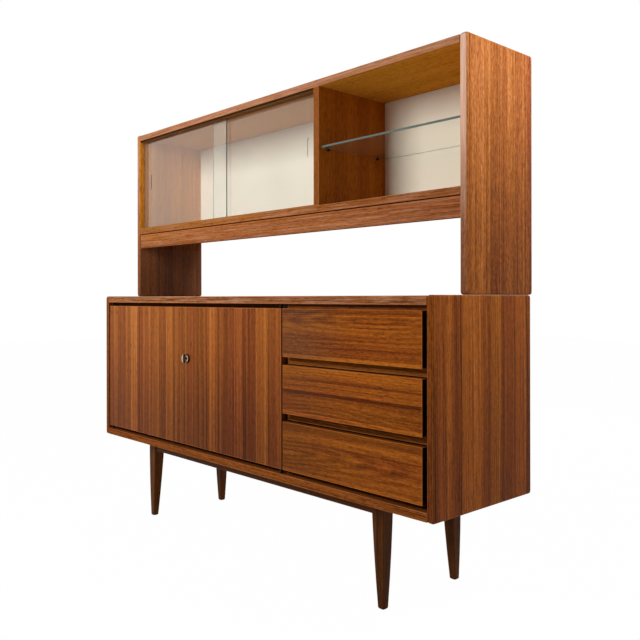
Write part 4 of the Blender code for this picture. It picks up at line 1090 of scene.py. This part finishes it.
def glass_plate(name, low, high, thin, pull=None):
    """Closed plate between two corners, thin along one axis; pull is the centre of a trough."""
    u_axis, v_axis = [k for k in range(3) if k != thin]
    half_w, half_h, deep = PULL_SIZE
    spans = [None, None]
    if pull:
        reaches = (half_w * PULL_MARGINS[0], (half_h + half_w) * PULL_MARGINS[1])
        spans = [(at - reach, at + reach, count) for at, reach, count in zip(pull, reaches, PULL_LINES)]
    us = lines_for(low[u_axis], high[u_axis], spans[0])
    vs = lines_for(low[v_axis], high[v_axis], spans[1])
    u, v = np.meshgrid(us, vs, indexing="ij")
    draw = ARRIS - np.sqrt(ARRIS ** 2 - np.clip(ARRIS - to_rim(u, v, us, vs), 0, ARRIS) ** 2)
    front, back = low[thin] + draw, high[thin] - draw
    if pull:
        along = np.maximum(np.abs(v - pull[1]) - half_h, 0.0)
        away = np.hypot(u - pull[0], along) / half_w
        front = front + deep * np.sqrt(np.clip(1 - away ** 2, 0, 1))
    sheets = np.zeros((2, u.size, 3))
    sheets[:, :, u_axis] = u.ravel()
    sheets[:, :, v_axis] = v.ravel()
    sheets[:, :, thin] = front.ravel(), back.ravel()
    points = sheets.reshape(-1, 3)
    faces = plate_faces(*u.shape)
    if thin == 2:
        faces = faces[:, ::-1]
    mesh = bpy.data.meshes.new(name)
    mesh.from_pydata(points.tolist(), [], faces.tolist())
    for material in (CLEAR, EDGE):
        mesh.materials.append(material)
    mid_u, mid_v = points[faces].mean(axis=1)[:, [u_axis, v_axis]].T
    reach = to_rim(mid_u, mid_v, us, vs)
    mesh.polygons.foreach_set("material_index", (reach < ARRIS).astype(np.int32))
    if pull:
        near = np.abs(mid_u - pull[0]) < half_w * SMOOTH_MARGIN
        near &= np.abs(mid_v - pull[1]) < half_h + half_w * SMOOTH_MARGIN
        mesh.polygons.foreach_set("use_smooth", near & (reach > ARRIS))
    return placed(name, mesh)


# %% [markdown]
# ## Three plates in their places
# Each pane stands for the solid pane of the model, has its pull near its outer edge, and
# slides with its own body. The shelf is the same plate laid flat, with no pull.

# %% Panes and shelf
PULL_INSET = 0.056
PULL_RISE = 0.008
for side, sign in (("left", 1), ("right", -1)):
    low, high = corners(f"glass_door_{side}")
    edge = low if sign > 0 else high
    pull = (float(edge[0]) + sign * PULL_INSET, float(low[2] + high[2]) / 2 + PULL_RISE)
    pane = glass_plate(f"sliding_pane_{side}", low, high, 1, pull)
    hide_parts(f"glass_door_{side}")
    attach(pane, f"glass_{side}")
shelf = glass_plate("bay_glass_shelf", *corners("glass_shelf"), 2)
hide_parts("glass_shelf")
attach(shelf, "cabinet")
print("faces of a pane:", len(pane.data.polygons), "and of the shelf:", len(shelf.data.polygons))

# %% [markdown]
# ## The studio
# A white floor and a white world, as in a catalogue picture. Brighter lamps would whiten them
# too, but would bleach the wood, so both are white only to the camera and to mirrors and
# glass. What lights the object is softer: a large lamp in front, a smaller one beyond the
# right end, one far behind, and a dim world.

# %% What shows as white
def seen_ray(tree):
    """1 for what the camera sees, also by glass or metal, and 0 for light that wood has scattered."""
    path = tree.nodes.new("ShaderNodeLightPath")
    seen = path.outputs["Is Camera Ray"]
    for key in ("Is Glossy Ray", "Is Transmission Ray"):
        seen = math_node(tree, "MAXIMUM", seen, path.outputs[key])
    fresh = math_node(tree, "LESS_THAN", path.outputs["Diffuse Depth"], 0.5)
    return math_node(tree, "MULTIPLY", seen, fresh)


# %% Floor and world
FLOOR_WHITE = 0.99
FLOOR_REACH = 12.0


def studio_floor():
    """A wide pale plane; the camera sees it nearly white, with a trace of shadow."""
    mesh = bpy.data.meshes.new("studio_floor")
    ends = (-FLOOR_REACH, FLOOR_REACH)
    mesh.from_pydata([(x, y, 0) for x in ends for y in ends], [], [(0, 2, 3, 1)])
    floor = placed("studio_floor", mesh)
    r = Recipe("studio_floor")
    r.shader.inputs["Base Color"].default_value = (0.8, 0.8, 0.8, 1.0)
    r.shader.inputs["Roughness"].default_value = 0.9
    glow = r.add("ShaderNodeEmission", {"Color": (1, 1, 1, 1), "Strength": 1.0}).outputs[0]
    blend = r.add("ShaderNodeMixShader", {0: r.math("MULTIPLY", seen_ray(r.tree), FLOOR_WHITE)})
    r.put(blend.inputs[1], r.shader.outputs[0])
    r.put(blend.inputs[2], glow)
    r.put(r.tree.nodes["Material Output"].inputs[0], blend.outputs[0])
    mesh.materials.append(r.material)


def studio_world(ambient):
    """White to the camera, glass and metal; a dim even light to everything else."""
    world = bpy.data.worlds.new("studio_world")
    bpy.context.scene.world = world
    world.use_nodes = True
    tree = world.node_tree
    back = tree.nodes["Background"]
    back.inputs["Color"].default_value = (1, 1, 1, 1)
    level = math_node(tree, "MULTIPLY_ADD", seen_ray(tree), 1.0 - ambient, ambient)
    tree.links.new(level, back.inputs["Strength"])


studio_floor()
studio_world(ambient=0.20)
print("floor reaches", FLOOR_REACH, "m each way, and is white by", FLOOR_WHITE)


# %% Lamps
def lamp(name, at, aim, size, power):
    """A square soft lamp pointed at a place, and hidden from rays that glass bends or mirrors."""
    data = bpy.data.lights.new(name, "AREA")
    data.size = size
    data.energy = power
    light = placed(name, data)
    light.location = at
    light.visible_transmission = False
    light.visible_glossy = False
    way = np.array(aim, float) - np.array(at, float)
    tip = math.acos(-way[2] / np.linalg.norm(way))
    light.rotation_euler = (tip, 0.0, math.atan2(way[1], way[0]) - math.pi / 2)


lamp("front_lamp", at=(-0.35, FRONT_Y - 2.10, 1.85), aim=(-0.05, 0.0, 0.85), size=1.1, power=58.0)
lamp("right_lamp", at=(1.75, FRONT_Y + 0.60, 2.05), aim=(0.75, 0.05, 1.0), size=0.6, power=26.0)
lamp("back_lamp", at=(-1.4, 3.2, 1.6), aim=(0.0, 0.2, 0.8), size=1.2, power=45.0)
print("lamps:", [light.name for light in bpy.data.lights])
